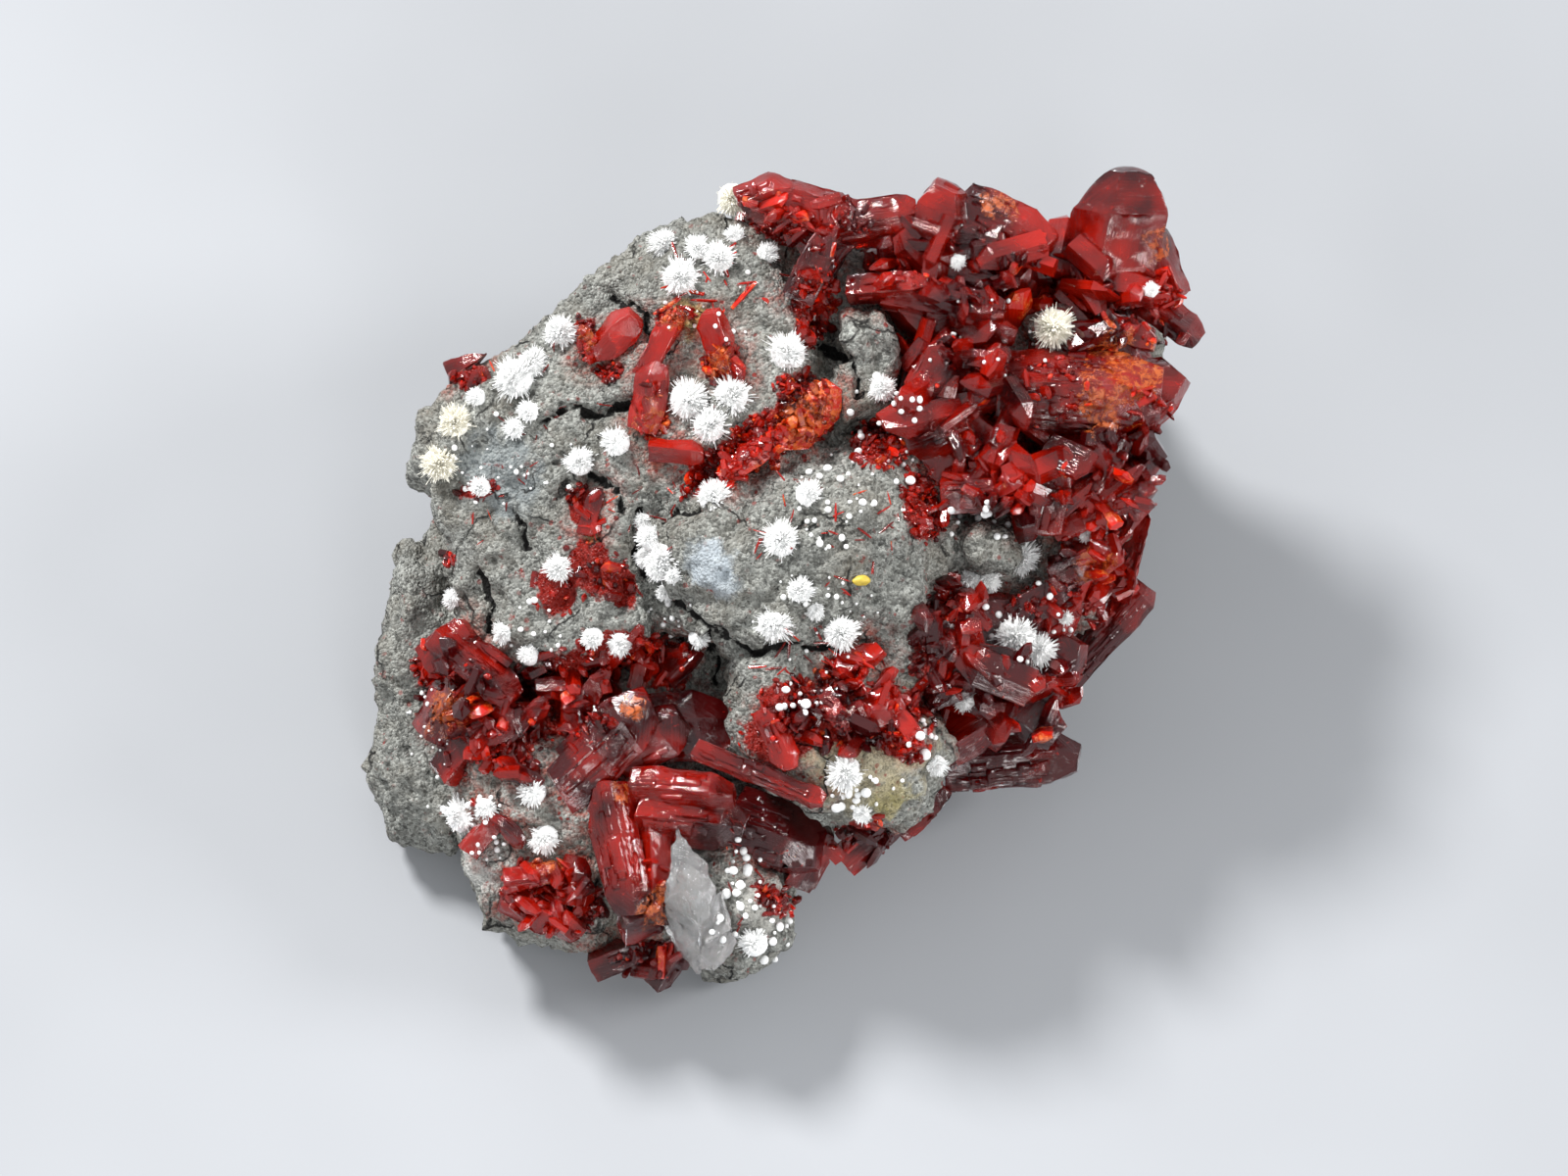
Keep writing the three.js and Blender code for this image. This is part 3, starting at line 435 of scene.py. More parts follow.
class Surface:
    """The faces of several pieces, to set smaller things on."""

    def __init__(self, pieces):
        corners, faces = [], []
        self.owners, self.areas = [], []
        for piece in pieces:
            start = len(corners)
            corners.extend(vertex.co.copy() for vertex in piece.data.vertices)
            whole = piece.data.attributes.get("whole_area")
            for face in piece.data.polygons:
                faces.append([start + i for i in face.vertices])
                self.owners.append(piece.name)
                self.areas.append(whole.data[face.index].value if whole else face.area)
        self.tree = BVHTree.FromPolygons(corners, faces)

    def drop(self, u, v):
        """The outermost place over a place on the face, its normal and the number of its face, or None."""
        place, normal, face, _ = self.tree.ray_cast(on_face(u, v, 60), -OUT_OF_FACE)
        return None if place is None else (place, normal, face)

    def on_large_crystal(self, face):
        """Whether a face is a large one that stays mostly clean."""
        owner = self.owners[face]
        if "orange_ridge" in owner:
            return False
        if "crust" in owner:
            return self.areas[face] > CLEAN_CRUST_FACE
        return "crystals" in owner and self.areas[face] > CLEAN_CRYSTAL_FACE


def turned_to(axis, spin):
    """A turn that brings +Z to an axis, after a spin about it."""
    return axis.to_track_quat("Z", "Y").to_matrix().to_4x4() @ Matrix.Rotation(spin, 4, "Z")


def random_axis(axis, spread, chance):
    """An axis near the given one: spread 0 keeps it and 1 may lay it flat."""
    side = Vector((chance.gauss(0, 1), chance.gauss(0, 1), chance.gauss(0, 1)))
    side -= axis * side.dot(axis)
    return (axis + side.normalized() * spread * chance.random() * 1.6).normalized()


def set_at(place, axis, spin, size):
    """A matrix that grows a form to a size, turns it to an axis and sets it on a place."""
    return Matrix.Translation(place) @ turned_to(axis, spin) @ Matrix.Diagonal((*size, 1))


def strew(name, forms, places):
    """One mesh of many copies of a few forms. A place is a form's number, a matrix and a finish's number."""
    corners, faces, finishes = [], [], []
    for which, matrix, finish in places:
        form = forms[which].data
        start = len(corners)
        corners.extend(matrix @ vertex.co for vertex in form.vertices)
        faces.extend([start + i for i in face.vertices] for face in form.polygons)
        finishes.extend([finish] * len(form.polygons))
    mesh = bpy.data.meshes.new(name)
    mesh.from_pydata(corners, [], faces)
    mesh.polygons.foreach_set("material_index", finishes)
    mesh.update()
    piece = bpy.data.objects.new(name, mesh)
    bpy.context.scene.collection.objects.link(piece)
    return piece


def remove_forms(forms):
    for form in forms:
        bpy.data.meshes.remove(form.data)


def places_in_patch(patch, chance):
    """Random places in an oval patch of the face, denser towards its middle."""
    u, v, half_width, half_height, turn, count = patch[:6]
    turn = math.radians(turn)
    for _ in range(count):
        angle = chance.uniform(0, 2 * math.pi)
        reach = chance.random() ** 0.6
        x = half_width * reach * math.cos(angle)
        y = half_height * reach * math.sin(angle)
        yield (
            u + x * math.cos(turn) - y * math.sin(turn),
            v + x * math.sin(turn) + y * math.cos(turn),
        )


def landings(surface, patch, chance):
    """Where random places of a patch meet a surface: u, v, the place, its normal and its face."""
    for u, v in places_in_patch(patch, chance):
        found = surface.drop(u, v)
        if found is not None:
            yield u, v, *found


def cover_of_patch(patch, u, v):
    """1 in the middle of an oval patch of the face, 0 at its edge and outside."""
    middle_u, middle_v, half_width, half_height, turn = patch[:5]
    turn = math.radians(turn)
    x = (u - middle_u) * math.cos(turn) + (v - middle_v) * math.sin(turn)
    y = (v - middle_v) * math.cos(turn) - (u - middle_u) * math.sin(turn)
    return max(0.0, 1 - math.hypot(x / half_width, y / half_height))


def under_spray(u, v):
    """Whether a needle spray covers a place on the face."""
    sprays = [spray for group in SPRAYS.values() for spray in group] + SMALL_SPRAYS
    return any(math.hypot(u - x, v - y) < radius * 0.9 for x, y, radius in sprays)


def crack_depth(u, v):
    """1 on the line of an open crack, 0 at its sides and beyond."""
    here = Vector((u, v))
    nearest = math.inf
    for line in CRACK_LINES:
        for start, end in zip(line, line[1:]):
            start, end = Vector(start), Vector(end)
            along = end - start
            share = clamp((here - start).dot(along) / along.length_squared)
            nearest = min(nearest, (here - start - along * share).length)
    return max(0.0, 1 - nearest / CRACK_HALF_WIDTH)


def map_along_edges(piece):
    """Lays a UV map whose first axis runs along each face's longest edge, in mm, as striations do."""
    shape = bmesh.new()
    shape.from_mesh(piece.data)
    layer = shape.loops.layers.uv.verify()
    for face in shape.faces:
        longest = max(face.edges, key=lambda edge: edge.calc_length())
        along = (longest.verts[1].co - longest.verts[0].co).normalized()
        across = face.normal.cross(along)
        for loop in face.loops:
            loop[layer].uv = (loop.vert.co.dot(along) / MM, loop.vert.co.dot(across) / MM)
    shape.to_mesh(piece.data)
    shape.free()


# Node helpers


def new_material(name):
    material = bpy.data.materials.new(name)
    material.use_nodes = True
    tree = material.node_tree
    shader = tree.nodes["Principled BSDF"]
    return material, tree, shader


def new_group(name, inputs, outputs):
    """A node group with named sockets. inputs and outputs hold (kind, name) or (kind, name, default)."""
    group = bpy.data.node_groups.new(name, "ShaderNodeTree")
    for way, sockets in (("INPUT", inputs), ("OUTPUT", outputs)):
        for kind, label, *default in sockets:
            socket = group.interface.new_socket(name=label, in_out=way, socket_type="NodeSocket" + kind)
            if default:
                socket.default_value = default[0]
    entry = group.nodes.new("NodeGroupInput")
    result = group.nodes.new("NodeGroupOutput")
    return group, entry.outputs, result.inputs


def feed(tree, socket, value):
    """Links a socket to an output, or sets its value."""
    if isinstance(value, bpy.types.NodeSocket):
        tree.links.new(value, socket)
    else:
        socket.default_value = value


def feed_all(tree, node, values):
    for name, value in values.items():
        feed(tree, node.inputs[name], value)


def use_group(tree, name, **values):
    """Places an effect's node group, built when it is first used, and gives its outputs."""
    node = tree.nodes.new("ShaderNodeGroup")
    node.node_tree = bpy.data.node_groups.get(name) or EFFECTS[name]()
    feed_all(tree, node, values)
    return node.outputs


def noise(tree, vector, size, detail=4.0, roughness=0.55, distortion=0.0):
    """Cloudy noise from 0 to 1 with features of the given size in the vector's unit."""
    node = tree.nodes.new("ShaderNodeTexNoise")
    feed_all(tree, node, {
        "Vector": vector, "Scale": 1 / size, "Detail": detail, "Roughness": roughness,
        "Distortion": distortion,
    })
    return node.outputs["Fac"]


def cells(tree, vector, size):
    """Distance to the middle of the nearest cell, and a grey value for each cell."""
    node = tree.nodes.new("ShaderNodeTexVoronoi")
    feed_all(tree, node, {"Vector": vector, "Scale": 1 / size})
    split = tree.nodes.new("ShaderNodeSeparateColor")
    tree.links.new(node.outputs["Color"], split.inputs["Color"])
    return node.outputs["Distance"], split.outputs["Red"]


def ramp(tree, value, low, high, to_low=0.0, to_high=1.0):
    """A value mapped from one range to another, held at the ends."""
    node = tree.nodes.new("ShaderNodeMapRange")
    feed_all(tree, node, {
        "Value": value, "From Min": low, "From Max": high, "To Min": to_low, "To Max": to_high,
    })
    return node.outputs["Result"]


def math_node(tree, operation, result, *others):
    """The first value with each further one taken to it in turn."""
    for other in others:
        node = tree.nodes.new("ShaderNodeMath")
        node.operation = operation
        feed(tree, node.inputs[0], result)
        feed(tree, node.inputs[1], other)
        result = node.outputs["Value"]
    return result


def times(tree, *values):
    return math_node(tree, "MULTIPLY", *values)


def plus(tree, *values):
    return math_node(tree, "ADD", *values)


def mix(tree, amount, first, second, blend="MIX"):
    node = tree.nodes.new("ShaderNodeMix")
    node.data_type = "RGBA"
    node.blend_type = blend
    feed_all(tree, node, {"Factor": amount, "A": first, "B": second})
    return node.outputs["Result"]


def bump(tree, height, distance):
    node = tree.nodes.new("ShaderNodeBump")
    feed_all(tree, node, {"Height": height, "Distance": distance})
    return node.outputs["Normal"]


def object_place(tree):
    return tree.nodes.new("ShaderNodeTexCoord").outputs["Object"]


def own_value(tree, name):
    node = tree.nodes.new("ShaderNodeAttribute")
    node.attribute_name = name
    return node.outputs["Fac"]


def opaque(colour):
    return (*colour, 1.0)


# Effects shared by several finishes


def ragged_spot():
    """A soft ragged spot round a place: 1 in its middle and 0 outside."""
    group, given, made = new_group(
        "Ragged spot",
        [("Vector", "Place"), ("Vector", "Middle"), ("Float", "Radius", 0.003), ("Float", "Raggedness", 0.6)],
        [("Float", "Mask")],
    )
    gap = group.nodes.new("ShaderNodeVectorMath")
    gap.operation = "DISTANCE"
    group.links.new(given["Place"], gap.inputs[0])
    group.links.new(given["Middle"], gap.inputs[1])
    share = math_node(group, "DIVIDE", gap.outputs["Value"], given["Radius"])
    rag = ramp(group, noise(group, given["Place"], 0.0022, 5.0), 0.3, 0.7, -0.5, 0.5)
    edge = plus(group, share, times(group, rag, given["Raggedness"]))
    group.links.new(ramp(group, edge, 1.05, 0.6), made["Mask"])
    return group


def sandy_grains():
    """Salt-and-pepper grains with their relief, and painted glints that lift a few grains to the light
    colour.
    """
    group, given, made = new_group(
        "Sandy grains",
        [("Vector", "Place"), ("Float", "Size", 0.0005)],
        [("Float", "Tone"), ("Float", "Height")],
    )
    node = group.nodes.new("ShaderNodeTexVoronoi")
    scale = math_node(group, "DIVIDE", 1.0, given["Size"])
    feed_all(group, node, {"Vector": given["Place"], "Scale": scale})
    split = group.nodes.new("ShaderNodeSeparateColor")
    group.links.new(node.outputs["Color"], split.inputs["Color"])
    cloud = noise(group, given["Place"], 0.0016, 6.0, 0.75)
    # A few grains are lifted to full light tone as painted glints.
    painted_glint = ramp(group, split.outputs["Green"], 0.93, 0.99, 0.0, 0.6)
    shade = ramp(group, split.outputs["Red"], 0, 1, 0.1, 0.85)
    tone = plus(group, times(group, shade, ramp(group, cloud, 0.3, 0.7, 0.75, 1.15)), painted_glint)
    round_top = ramp(group, node.outputs["Distance"], 0.0, 0.7, 1.0, 0.0)
    height = plus(group, times(group, round_top, 0.55), cloud)
    group.links.new(tone, made["Tone"])
    group.links.new(height, made["Height"])
    return group


def fine_cracks():
    """Thin broken cracks between crumbs of rock."""
    group, given, made = new_group("Fine cracks", [("Vector", "Place")], [("Float", "Crack")])
    wobble = group.nodes.new("ShaderNodeTexNoise")
    feed_all(group, wobble, {"Vector": given["Place"], "Scale": 1 / 0.003, "Detail": 4})
    shift = group.nodes.new("ShaderNodeVectorMath")
    shift.operation = "MULTIPLY_ADD"
    shift.inputs[1].default_value = (0.0035, 0.0035, 0.0035)
    group.links.new(wobble.outputs["Color"], shift.inputs[0])
    group.links.new(given["Place"], shift.inputs[2])
    edges = group.nodes.new("ShaderNodeTexVoronoi")
    edges.feature = "DISTANCE_TO_EDGE"
    feed_all(group, edges, {"Vector": shift.outputs["Vector"], "Scale": 1 / 0.013})
    line = ramp(group, edges.outputs["Distance"], 0.0, 0.016, 1.0, 0.0)
    broken = ramp(group, noise(group, given["Place"], 0.0075, 3.0), 0.5, 0.58)
    group.links.new(times(group, line, broken), made["Crack"])
    return group


def clouded_crystal():
    """Cloudy red of a clear crystal, partly painted glow with painted glints, with orange places, and
    striations along its faces.
    """
    group, given, made = new_group(
        "Clouded crystal",
        [
            ("Vector", "Place"), ("Vector", "Along"), ("Color", "Deep"), ("Color", "Bright"),
            ("Color", "Orange"), ("Float", "Brightness", 0.5), ("Float", "Alteration", 0.1),
        ],
        [("Color", "Color"), ("Float", "Roughness"), ("Float", "Height")],
    )
    cloud = noise(group, given["Place"], 0.008, 2.0, 0.5, 0.2)
    fleck = noise(group, given["Place"], 0.0011, 5.0, 0.7, 0.6)
    stretch = group.nodes.new("ShaderNodeMapping")
    feed_all(group, stretch, {"Vector": given["Along"], "Scale": (0.16, 3.4, 1.0)})
    lines = noise(group, stretch.outputs["Vector"], 1.0, 3.0, 0.6)
    steps = group.nodes.new("ShaderNodeMapping")
    feed_all(group, steps, {"Vector": given["Along"], "Scale": (0.3, 0.8, 1.0)})
    _, shade = cells(group, steps.outputs["Vector"], 1.0)
    # The lightness between deep and bright red is partly random cloudy tone and partly painted glow of light
    # through thin parts; the bright flecks are painted glints.
    light = plus(
        group, ramp(group, cloud, 0.34, 0.66, -0.4, 0.5), given["Brightness"],
        ramp(group, shade, 0.0, 1.0, -0.05, 0.05), ramp(group, fleck, 0.6, 0.72, 0.0, 0.6),
        ramp(group, lines, 0.35, 0.65, -0.05, 0.05),
    )
    red = mix(group, ramp(group, light, 0.0, 1.0), given["Deep"], given["Bright"])
    altered = plus(group, noise(group, given["Place"], 0.0028, 5.0, 0.65), given["Alteration"])
    altered = times(group, ramp(group, altered, 0.7, 0.82), ramp(group, fleck, 0.42, 0.6))
    group.links.new(mix(group, altered, red, given["Orange"]), made["Color"])
    rough = plus(group, ramp(group, fleck, 0.3, 0.7, 0.03, 0.1), times(group, altered, 0.4))
    group.links.new(rough, made["Roughness"])
    uneven = ramp(group, noise(group, given["Place"], 0.005, 2.0), 0.48, 0.62, 0.15, 1.5)
    crumbled = times(group, plus(group, fleck, altered), uneven)
    group.links.new(plus(group, lines, plus(group, crumbled, shade)), made["Height"])
    return group


EFFECTS = {
    "Ragged spot": ragged_spot, "Sandy grains": sandy_grains, "Fine cracks": fine_cracks,
    "Clouded crystal": clouded_crystal,
}


# Finishes


def spot_mask(tree, surface, place, spot, raggedness):
    """Mask of a ragged spot laid on a surface. A spot is its u, v and radius in mm."""
    u, v, radius = spot
    found = surface.drop(u, v)
    if found is None:
        raise RuntimeError(f"nothing under the spot at {u}, {v}")
    made = use_group(
        tree, "Ragged spot", Place=place, Middle=found[0], Radius=radius * MM, Raggedness=raggedness,
    )
    return made["Mask"]


def rock_finish():
    settings = bpy.context.scene.specimen_rock
    material, tree, shader = new_material("Grey sandy rock")
    place = object_place(tree)
    grains = use_group(tree, "Sandy grains", Place=place, Size=0.0004)
    cracks = use_group(tree, "Fine cracks", Place=place)["Crack"]
    colour = mix(tree, grains["Tone"], opaque(settings.dark), opaque(settings.light))
    patches = ramp(tree, noise(tree, place, 0.011, 3.0), 0.3, 0.7, 0.84, 1.14)
    tint = tree.nodes.new("ShaderNodeCombineColor")
    for channel in tint.inputs:
        tree.links.new(patches, channel)
    colour = mix(tree, 1.0, colour, tint.outputs["Color"], "MULTIPLY")
    # The pits sink in the bump and are darkened towards the dark grains as painted shade.
    pit = ramp(tree, noise(tree, place, 0.0009, 5.0, 0.8), 0.36, 0.42, 1.0, 0.0)
    colour = mix(tree, times(tree, pit, 0.7), colour, opaque(settings.dark))
    warm = ramp(tree, noise(tree, place, 0.007, 4.0), 0.46, 0.72, 0.1, 0.6)
    colour = mix(tree, warm, colour, opaque(settings.warm))
    surface = Surface([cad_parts["matrix"]])
    for *spot, stain, strength in ROCK_STAINS:
        amount = times(tree, spot_mask(tree, surface, place, spot, 0.7), strength)
        colour = mix(tree, amount, colour, opaque(stain))
    dust_cloud = ramp(tree, noise(tree, place, 0.0014, 6.0, 0.72), 0.43, 0.6, 0.0, 0.9)
    dust = times(tree, own_value(tree, "dust"), dust_cloud)
    colour = mix(tree, dust, colour, opaque(settings.dust))
    middle_gap, pick = cells(tree, place, 0.001)
    speck = times(tree, ramp(tree, pick, 0.86, 0.88), ramp(tree, middle_gap, 0.28, 0.4, 1.0, 0.0))
    scattered = ramp(tree, noise(tree, place, 0.004, 3.0), 0.42, 0.52)
    speck = times(tree, speck, times(tree, scattered, own_value(tree, "specks")))
    colour = mix(tree, speck, colour, opaque(settings.crust))
    ragged = plus(tree, own_value(tree, "crust"), noise(tree, place, 0.0018, 6.0, 0.7))
    crust = ramp(tree, ragged, 0.62, 0.72)
    colour = mix(tree, crust, colour, opaque(settings.crust))
    # The fine cracks are painted near black as shade in their gaps.
    colour = mix(tree, cracks, colour, (0.012, 0.011, 0.01, 1))
    # Open cracks are darkened to near black as painted shade, on top of their sunk geometry.
    open_crack_shade = plus(tree, own_value(tree, "crack"), noise(tree, place, 0.0012, 4.0))
    colour = mix(tree, ramp(tree, open_crack_shade, 1.0, 1.12), colour, (0.008, 0.007, 0.006, 1))
    dull = ramp(tree, grains["Tone"], 0.0, 1.0, 0.95, 0.72)
    height = math_node(tree, "SUBTRACT", grains["Height"], pit, times(tree, cracks, 2.0))
    feed_all(tree, shader, {
        "Base Color": colour, "Roughness": mix(tree, crust, dull, (0.28, 0.28, 0.28, 1)),
        "Normal": bump(tree, height, 0.0006), "Specular IOR Level": 0.4,
    })
    return material


def realgar_finish(name, brightness, alteration, transmission):
    settings = bpy.context.scene.specimen_realgar
    material, tree, shader = new_material(name)
    place = object_place(tree)
    surface = Surface(realgar_nodes())
    for spot in ALTERED_PLACES:
        mask = spot_mask(tree, surface, place, spot, 1.0)
        alteration = plus(tree, alteration, times(tree, mask, 0.36))
    cloud = use_group(
        tree, "Clouded crystal", Place=place, Along=tree.nodes.new("ShaderNodeUVMap").outputs["UV"],
        Deep=opaque(settings.deep), Bright=opaque(settings.bright), Orange=opaque(settings.orange),
        Brightness=brightness, Alteration=alteration,
    )
    feed_all(tree, shader, {
        "Base Color": cloud["Color"], "Roughness": cloud["Roughness"], "Metallic": 0.0,
        "Normal": bump(tree, cloud["Height"], 0.00008), "Transmission Weight": transmission,
        "IOR": REALGAR_IOR,
    })
    return material


def realgar_finishes():
    """Deep, bright, altered and dark realgar, the dark one also painted shade on the crystals underneath."""
    found = [bpy.data.materials.get(red[0]) for red in REDS]
    return found if all(found) else [realgar_finish(*red) for red in REDS]


def clouded(tree, cloud, colour, shade):
    """A colour that cloudy noise darkens down to a share of it."""
    return mix(tree, ramp(tree, cloud, 0.35, 0.7), opaque([c * shade for c in colour]), opaque(colour))


def white_finish(name, colour):
    material, tree, shader = new_material(name)
    place = object_place(tree)
    cloud = noise(tree, place, 0.0009, 5.0, 0.6)
    feed_all(tree, shader, {
        "Base Color": clouded(tree, cloud, colour, 0.95),
        "Roughness": ramp(tree, cloud, 0.3, 0.7, 0.45, 0.7),
        "Normal": bump(tree, noise(tree, place, 0.00025, 3.0), 0.00006),
    })
    return material


def calcite_finish():
    settings = bpy.context.scene.specimen_calcite
    material, tree, shader = new_material("Milky calcite")
    place = object_place(tree)
    veil = noise(tree, place, 0.0036, 6.0, 0.68, 1.8)
    colour = mix(tree, ramp(tree, veil, 0.4, 0.6), (1.0, 1.0, 1.0, 1), opaque(settings.tint))
    _, flaw = cells(tree, place, 0.0034)
    colour = mix(tree, ramp(tree, flaw, 0.82, 0.9, 0.0, 0.45), colour, (0.45, 0.44, 0.43, 1))
    feed_all(tree, shader, {
        "Base Color": colour, "Roughness": ramp(tree, veil, 0.35, 0.65, 0.04, 0.22),
        "Normal": bump(tree, noise(tree, place, 0.0012, 5.0, 0.6), 0.0003),
        "Transmission Weight": 0.85, "IOR": CALCITE_IOR,
    })
    return material


def plain_finish(name, colour, size, roughness):
    """One colour broken up by cloudy noise of a given size."""
    material, tree, shader = new_material(name)
    cloud = noise(tree, object_place(tree), size, 5.0, 0.6)
    feed_all(tree, shader, {"Base Color": clouded(tree, cloud, colour, 0.7), "Roughness": roughness})
    return material


# Pieces


class SPECIMEN_OT_rock(bpy.types.Operator):
    """Roughens the rock into crumbly sandy matrix with red dust round its crystals"""

    bl_idname = "specimen.rock"
    bl_label = "Grey rock"

    def execute(self, context):
        settings = context.scene.specimen_rock
        piece = copy_of_node("matrix", "rock")
        apply_modifier(piece, "REMESH", mode="VOXEL", voxel_size=settings.mesh_size)
        free = piece.vertex_groups.new(name="free")
        for vertex in piece.data.vertices:
            free.add([vertex.index], clamp((vertex.co.z / MM - 0.6) / 1.4), "REPLACE")
        for size, height, depth in ((0.0048, settings.lump_height, 2), (0.0015, settings.grit_height, 4)):
            lay_waves(piece, size, height, depth, 1.6, mid_level=0.46, vertex_group="free")
        self.open_cracks(piece)
        piece.vertex_groups.clear()
        make_active(piece)
        bpy.ops.object.shade_smooth()
        self.lay_dust(piece)
        finish_piece(piece, rock_finish(), ["matrix"])
        return {"FINISHED"}

    def open_cracks(self, piece):
        """Sinks the rock along its open cracks and stores how far, which the rock's finish also paints as
        shade.
        """
        seed_set(CRACKS_SEED)
        sunk = piece.vertex_groups.new(name="sunk")
        crack = piece.data.attributes.new("crack", "FLOAT", "POINT")
        for vertex in piece.data.vertices:
            u, v, w = in_face(vertex.co)
            if w < CRACK_LOWEST:
                continue
            stray = noise_vector(vertex.co / (2.4 * MM)) * CRACK_STRAY
            depth = crack_depth(u + stray.x, v + stray.y)
            crack.data[vertex.index].value = depth
            sunk.add([vertex.index], depth, "REPLACE")
        apply_modifier(piece, "DISPLACE", strength=-0.0016, mid_level=0.0, vertex_group="sunk")

    def lay_dust(self, piece):
        """Stores how much red dust, crust and specks lie at each point of the rock."""
        tree = Surface(realgar_nodes()).tree
        dust, crust, specks = (
            piece.data.attributes.new(name, "FLOAT", "POINT") for name in ("dust", "crust", "specks")
        )
        for vertex in piece.data.vertices:
            found = tree.find_nearest(vertex.co, SPECK_REACH * MM)
            gap = found[3] / MM if found[0] is not None else SPECK_REACH
            u, v, w = in_face(vertex.co)
            covered = max(cover_of_patch(patch, u, v) for patch in CRYSTAL_PATCHES)
            covered *= clamp((w + 17) / 8)
            crust.data[vertex.index].value = covered
            specks.data[vertex.index].value = 1 - gap / SPECK_REACH
            dust.data[vertex.index].value = max(max(0.0, 1 - gap / DUST_REACH) ** 1.2, 0.7 * covered)


def round_crest(piece, middle, top, half, fall):
    """Lowers what stands above an arch across the face, given in mm."""
    for vertex in piece.data.vertices:
        u, v, _ = in_face(vertex.co)
        excess = v - (top - fall * ((u - middle) / half) ** 2)
        if excess > 0 and abs(u - middle) < half:
            vertex.co -= UP_FACE * excess * MM


def new_form(add, **settings):
    """A small form made by one of the operators that add a primitive, with its place in its mesh."""
    deselect_all()
    add(**settings)
    bpy.ops.object.transform_apply(location=True, rotation=True, scale=True)
    return bpy.context.object


def step_form():
    """A low block with sloping sides, one unit long, wide and high."""
    return new_form(
        bpy.ops.mesh.primitive_cone_add, vertices=4, radius1=0.707, radius2=0.58, depth=1,
        rotation=(0, 0, math.radians(45)),
    )


def holds(outline, x, y):
    """Whether a flat outline holds a place."""
    inside = False
    for (x1, y1), (x2, y2) in zip(outline, outline[1:] + outline[:1]):
        if (y1 > y) != (y2 > y) and x < x1 + (y - y1) * (x2 - x1) / (y2 - y1):
            inside = not inside
    return inside


def step_places(piece, chance):
    """Places of low growth steps on the larger faces of a crystal, along each face's longest edge."""
    places = []
    for face in piece.data.polygons:
        if face.area < STEP_FACE:
            continue
        corners = [piece.data.vertices[i].co for i in face.vertices]
        sides = [b - a for a, b in zip(corners, corners[1:] + corners[:1])]
        along = max(sides, key=lambda side: side.length).normalized()
        across = face.normal.cross(along)
        outline = [(corner.dot(along), corner.dot(across)) for corner in corners]
        low = [min(place[i] for place in outline) for i in (0, 1)]
        high = [max(place[i] for place in outline) for i in (0, 1)]
        for _ in range(int(face.area / (1.1 * MM * MM))):
            x, y = chance.uniform(low[0], high[0]), chance.uniform(low[1], high[1])
            length = chance.uniform(1.2, 7.0) * MM
            width = chance.uniform(0.5, 2.2) * MM
            ends = [(x + i * length / 2, y + j * width / 2) for i in (-1, 1) for j in (-1, 1)]
            if not all(holds(outline, *end) for end in ends):
                continue
            height = chance.uniform(0.16, 0.8) * MM
            middle = along * x + across * y + face.normal * corners[0].dot(face.normal)
            turn = Matrix((along, across, face.normal)).transposed().to_4x4()
            size = Matrix.Diagonal((length, width, height, 1))
            places.append((0, Matrix.Translation(middle) @ turn @ size, 0))
    return places


def merge_flat_faces(piece, angle):
    apply_modifier(piece, "DECIMATE", decimate_type="DISSOLVE", angle_limit=math.radians(angle))


def bevel_edges(piece, width, segments, angle):
    apply_modifier(
        piece, "BEVEL", width=width, segments=segments, limit_method="ANGLE",
        angle_limit=math.radians(angle), use_clamp_overlap=True,
    )


def weather(piece, span, waves, sharp_angle):
    """Makes faces and edges uneven: splits edges longer than a span, then lays waves of (size, height).
    Each face keeps the area of the whole face that it was part of."""
    shape = bmesh.new()
    shape.from_mesh(piece.data)
    whole = shape.faces.layers.float.new("whole_area")
    for face in shape.faces:
        face[whole] = face.calc_area()
    for _ in range(5):
        bmesh.ops.triangulate(shape, faces=shape.faces)
        long = [edge for edge in shape.edges if edge.calc_length() > span]
        bmesh.ops.subdivide_edges(shape, edges=long, cuts=1)
    bmesh.ops.triangulate(shape, faces=shape.faces)
    shape.to_mesh(piece.data)
    shape.free()
    for size, height in waves:
        lay_waves(piece, size, height)
    make_active(piece)
    bpy.ops.object.shade_smooth_by_angle(angle=math.radians(sharp_angle))


class SPECIMEN_OT_crystals(bpy.types.Operator):
    """Gives the large realgar crystals worn edges, growth steps, striations and their clear red"""

    bl_idname = "specimen.crystals"
    bl_label = "Realgar crystals"

    def execute(self, context):
        edge = context.scene.specimen_realgar.edge_width
        deep, bright, altered, dark = realgar_finishes()
        form = step_form()
        chance = random.Random(STEPS_SEED)
        for node in sorted(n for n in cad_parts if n.startswith("realgar_")):
            place = node.replace("realgar_", "")
            piece = copy_of_node(node, place + "_crystals")
            merge_flat_faces(piece, 1)
            steps = step_places(piece, chance)
            rounded = place in ROUNDED
            bevel_edges(piece, edge * 5 if rounded else edge, 3 if rounded else 2, 12)
            if steps and not rounded:
                strewn = strew(place + "_steps", [form], steps)
                make_active(piece)
                strewn.select_set(True)
                bpy.ops.object.join()
            map_along_edges(piece)
            weather(piece, 1.3 * MM, [(0.0034, 0.001), (0.0012, 0.0003)], 32)
            if place in CRESTS:
                round_crest(piece, *CRESTS[place])
            finish = bright if place in CLEAR_BRIGHT else altered if place in ALTERED else deep
            # The dark red on the crystals underneath is painted shade.
            finish = dark if place in DARK_AND_SHADED else finish
            finish_piece(piece, finish, [node])
        remove_forms([form])
        return {"FINISHED"}


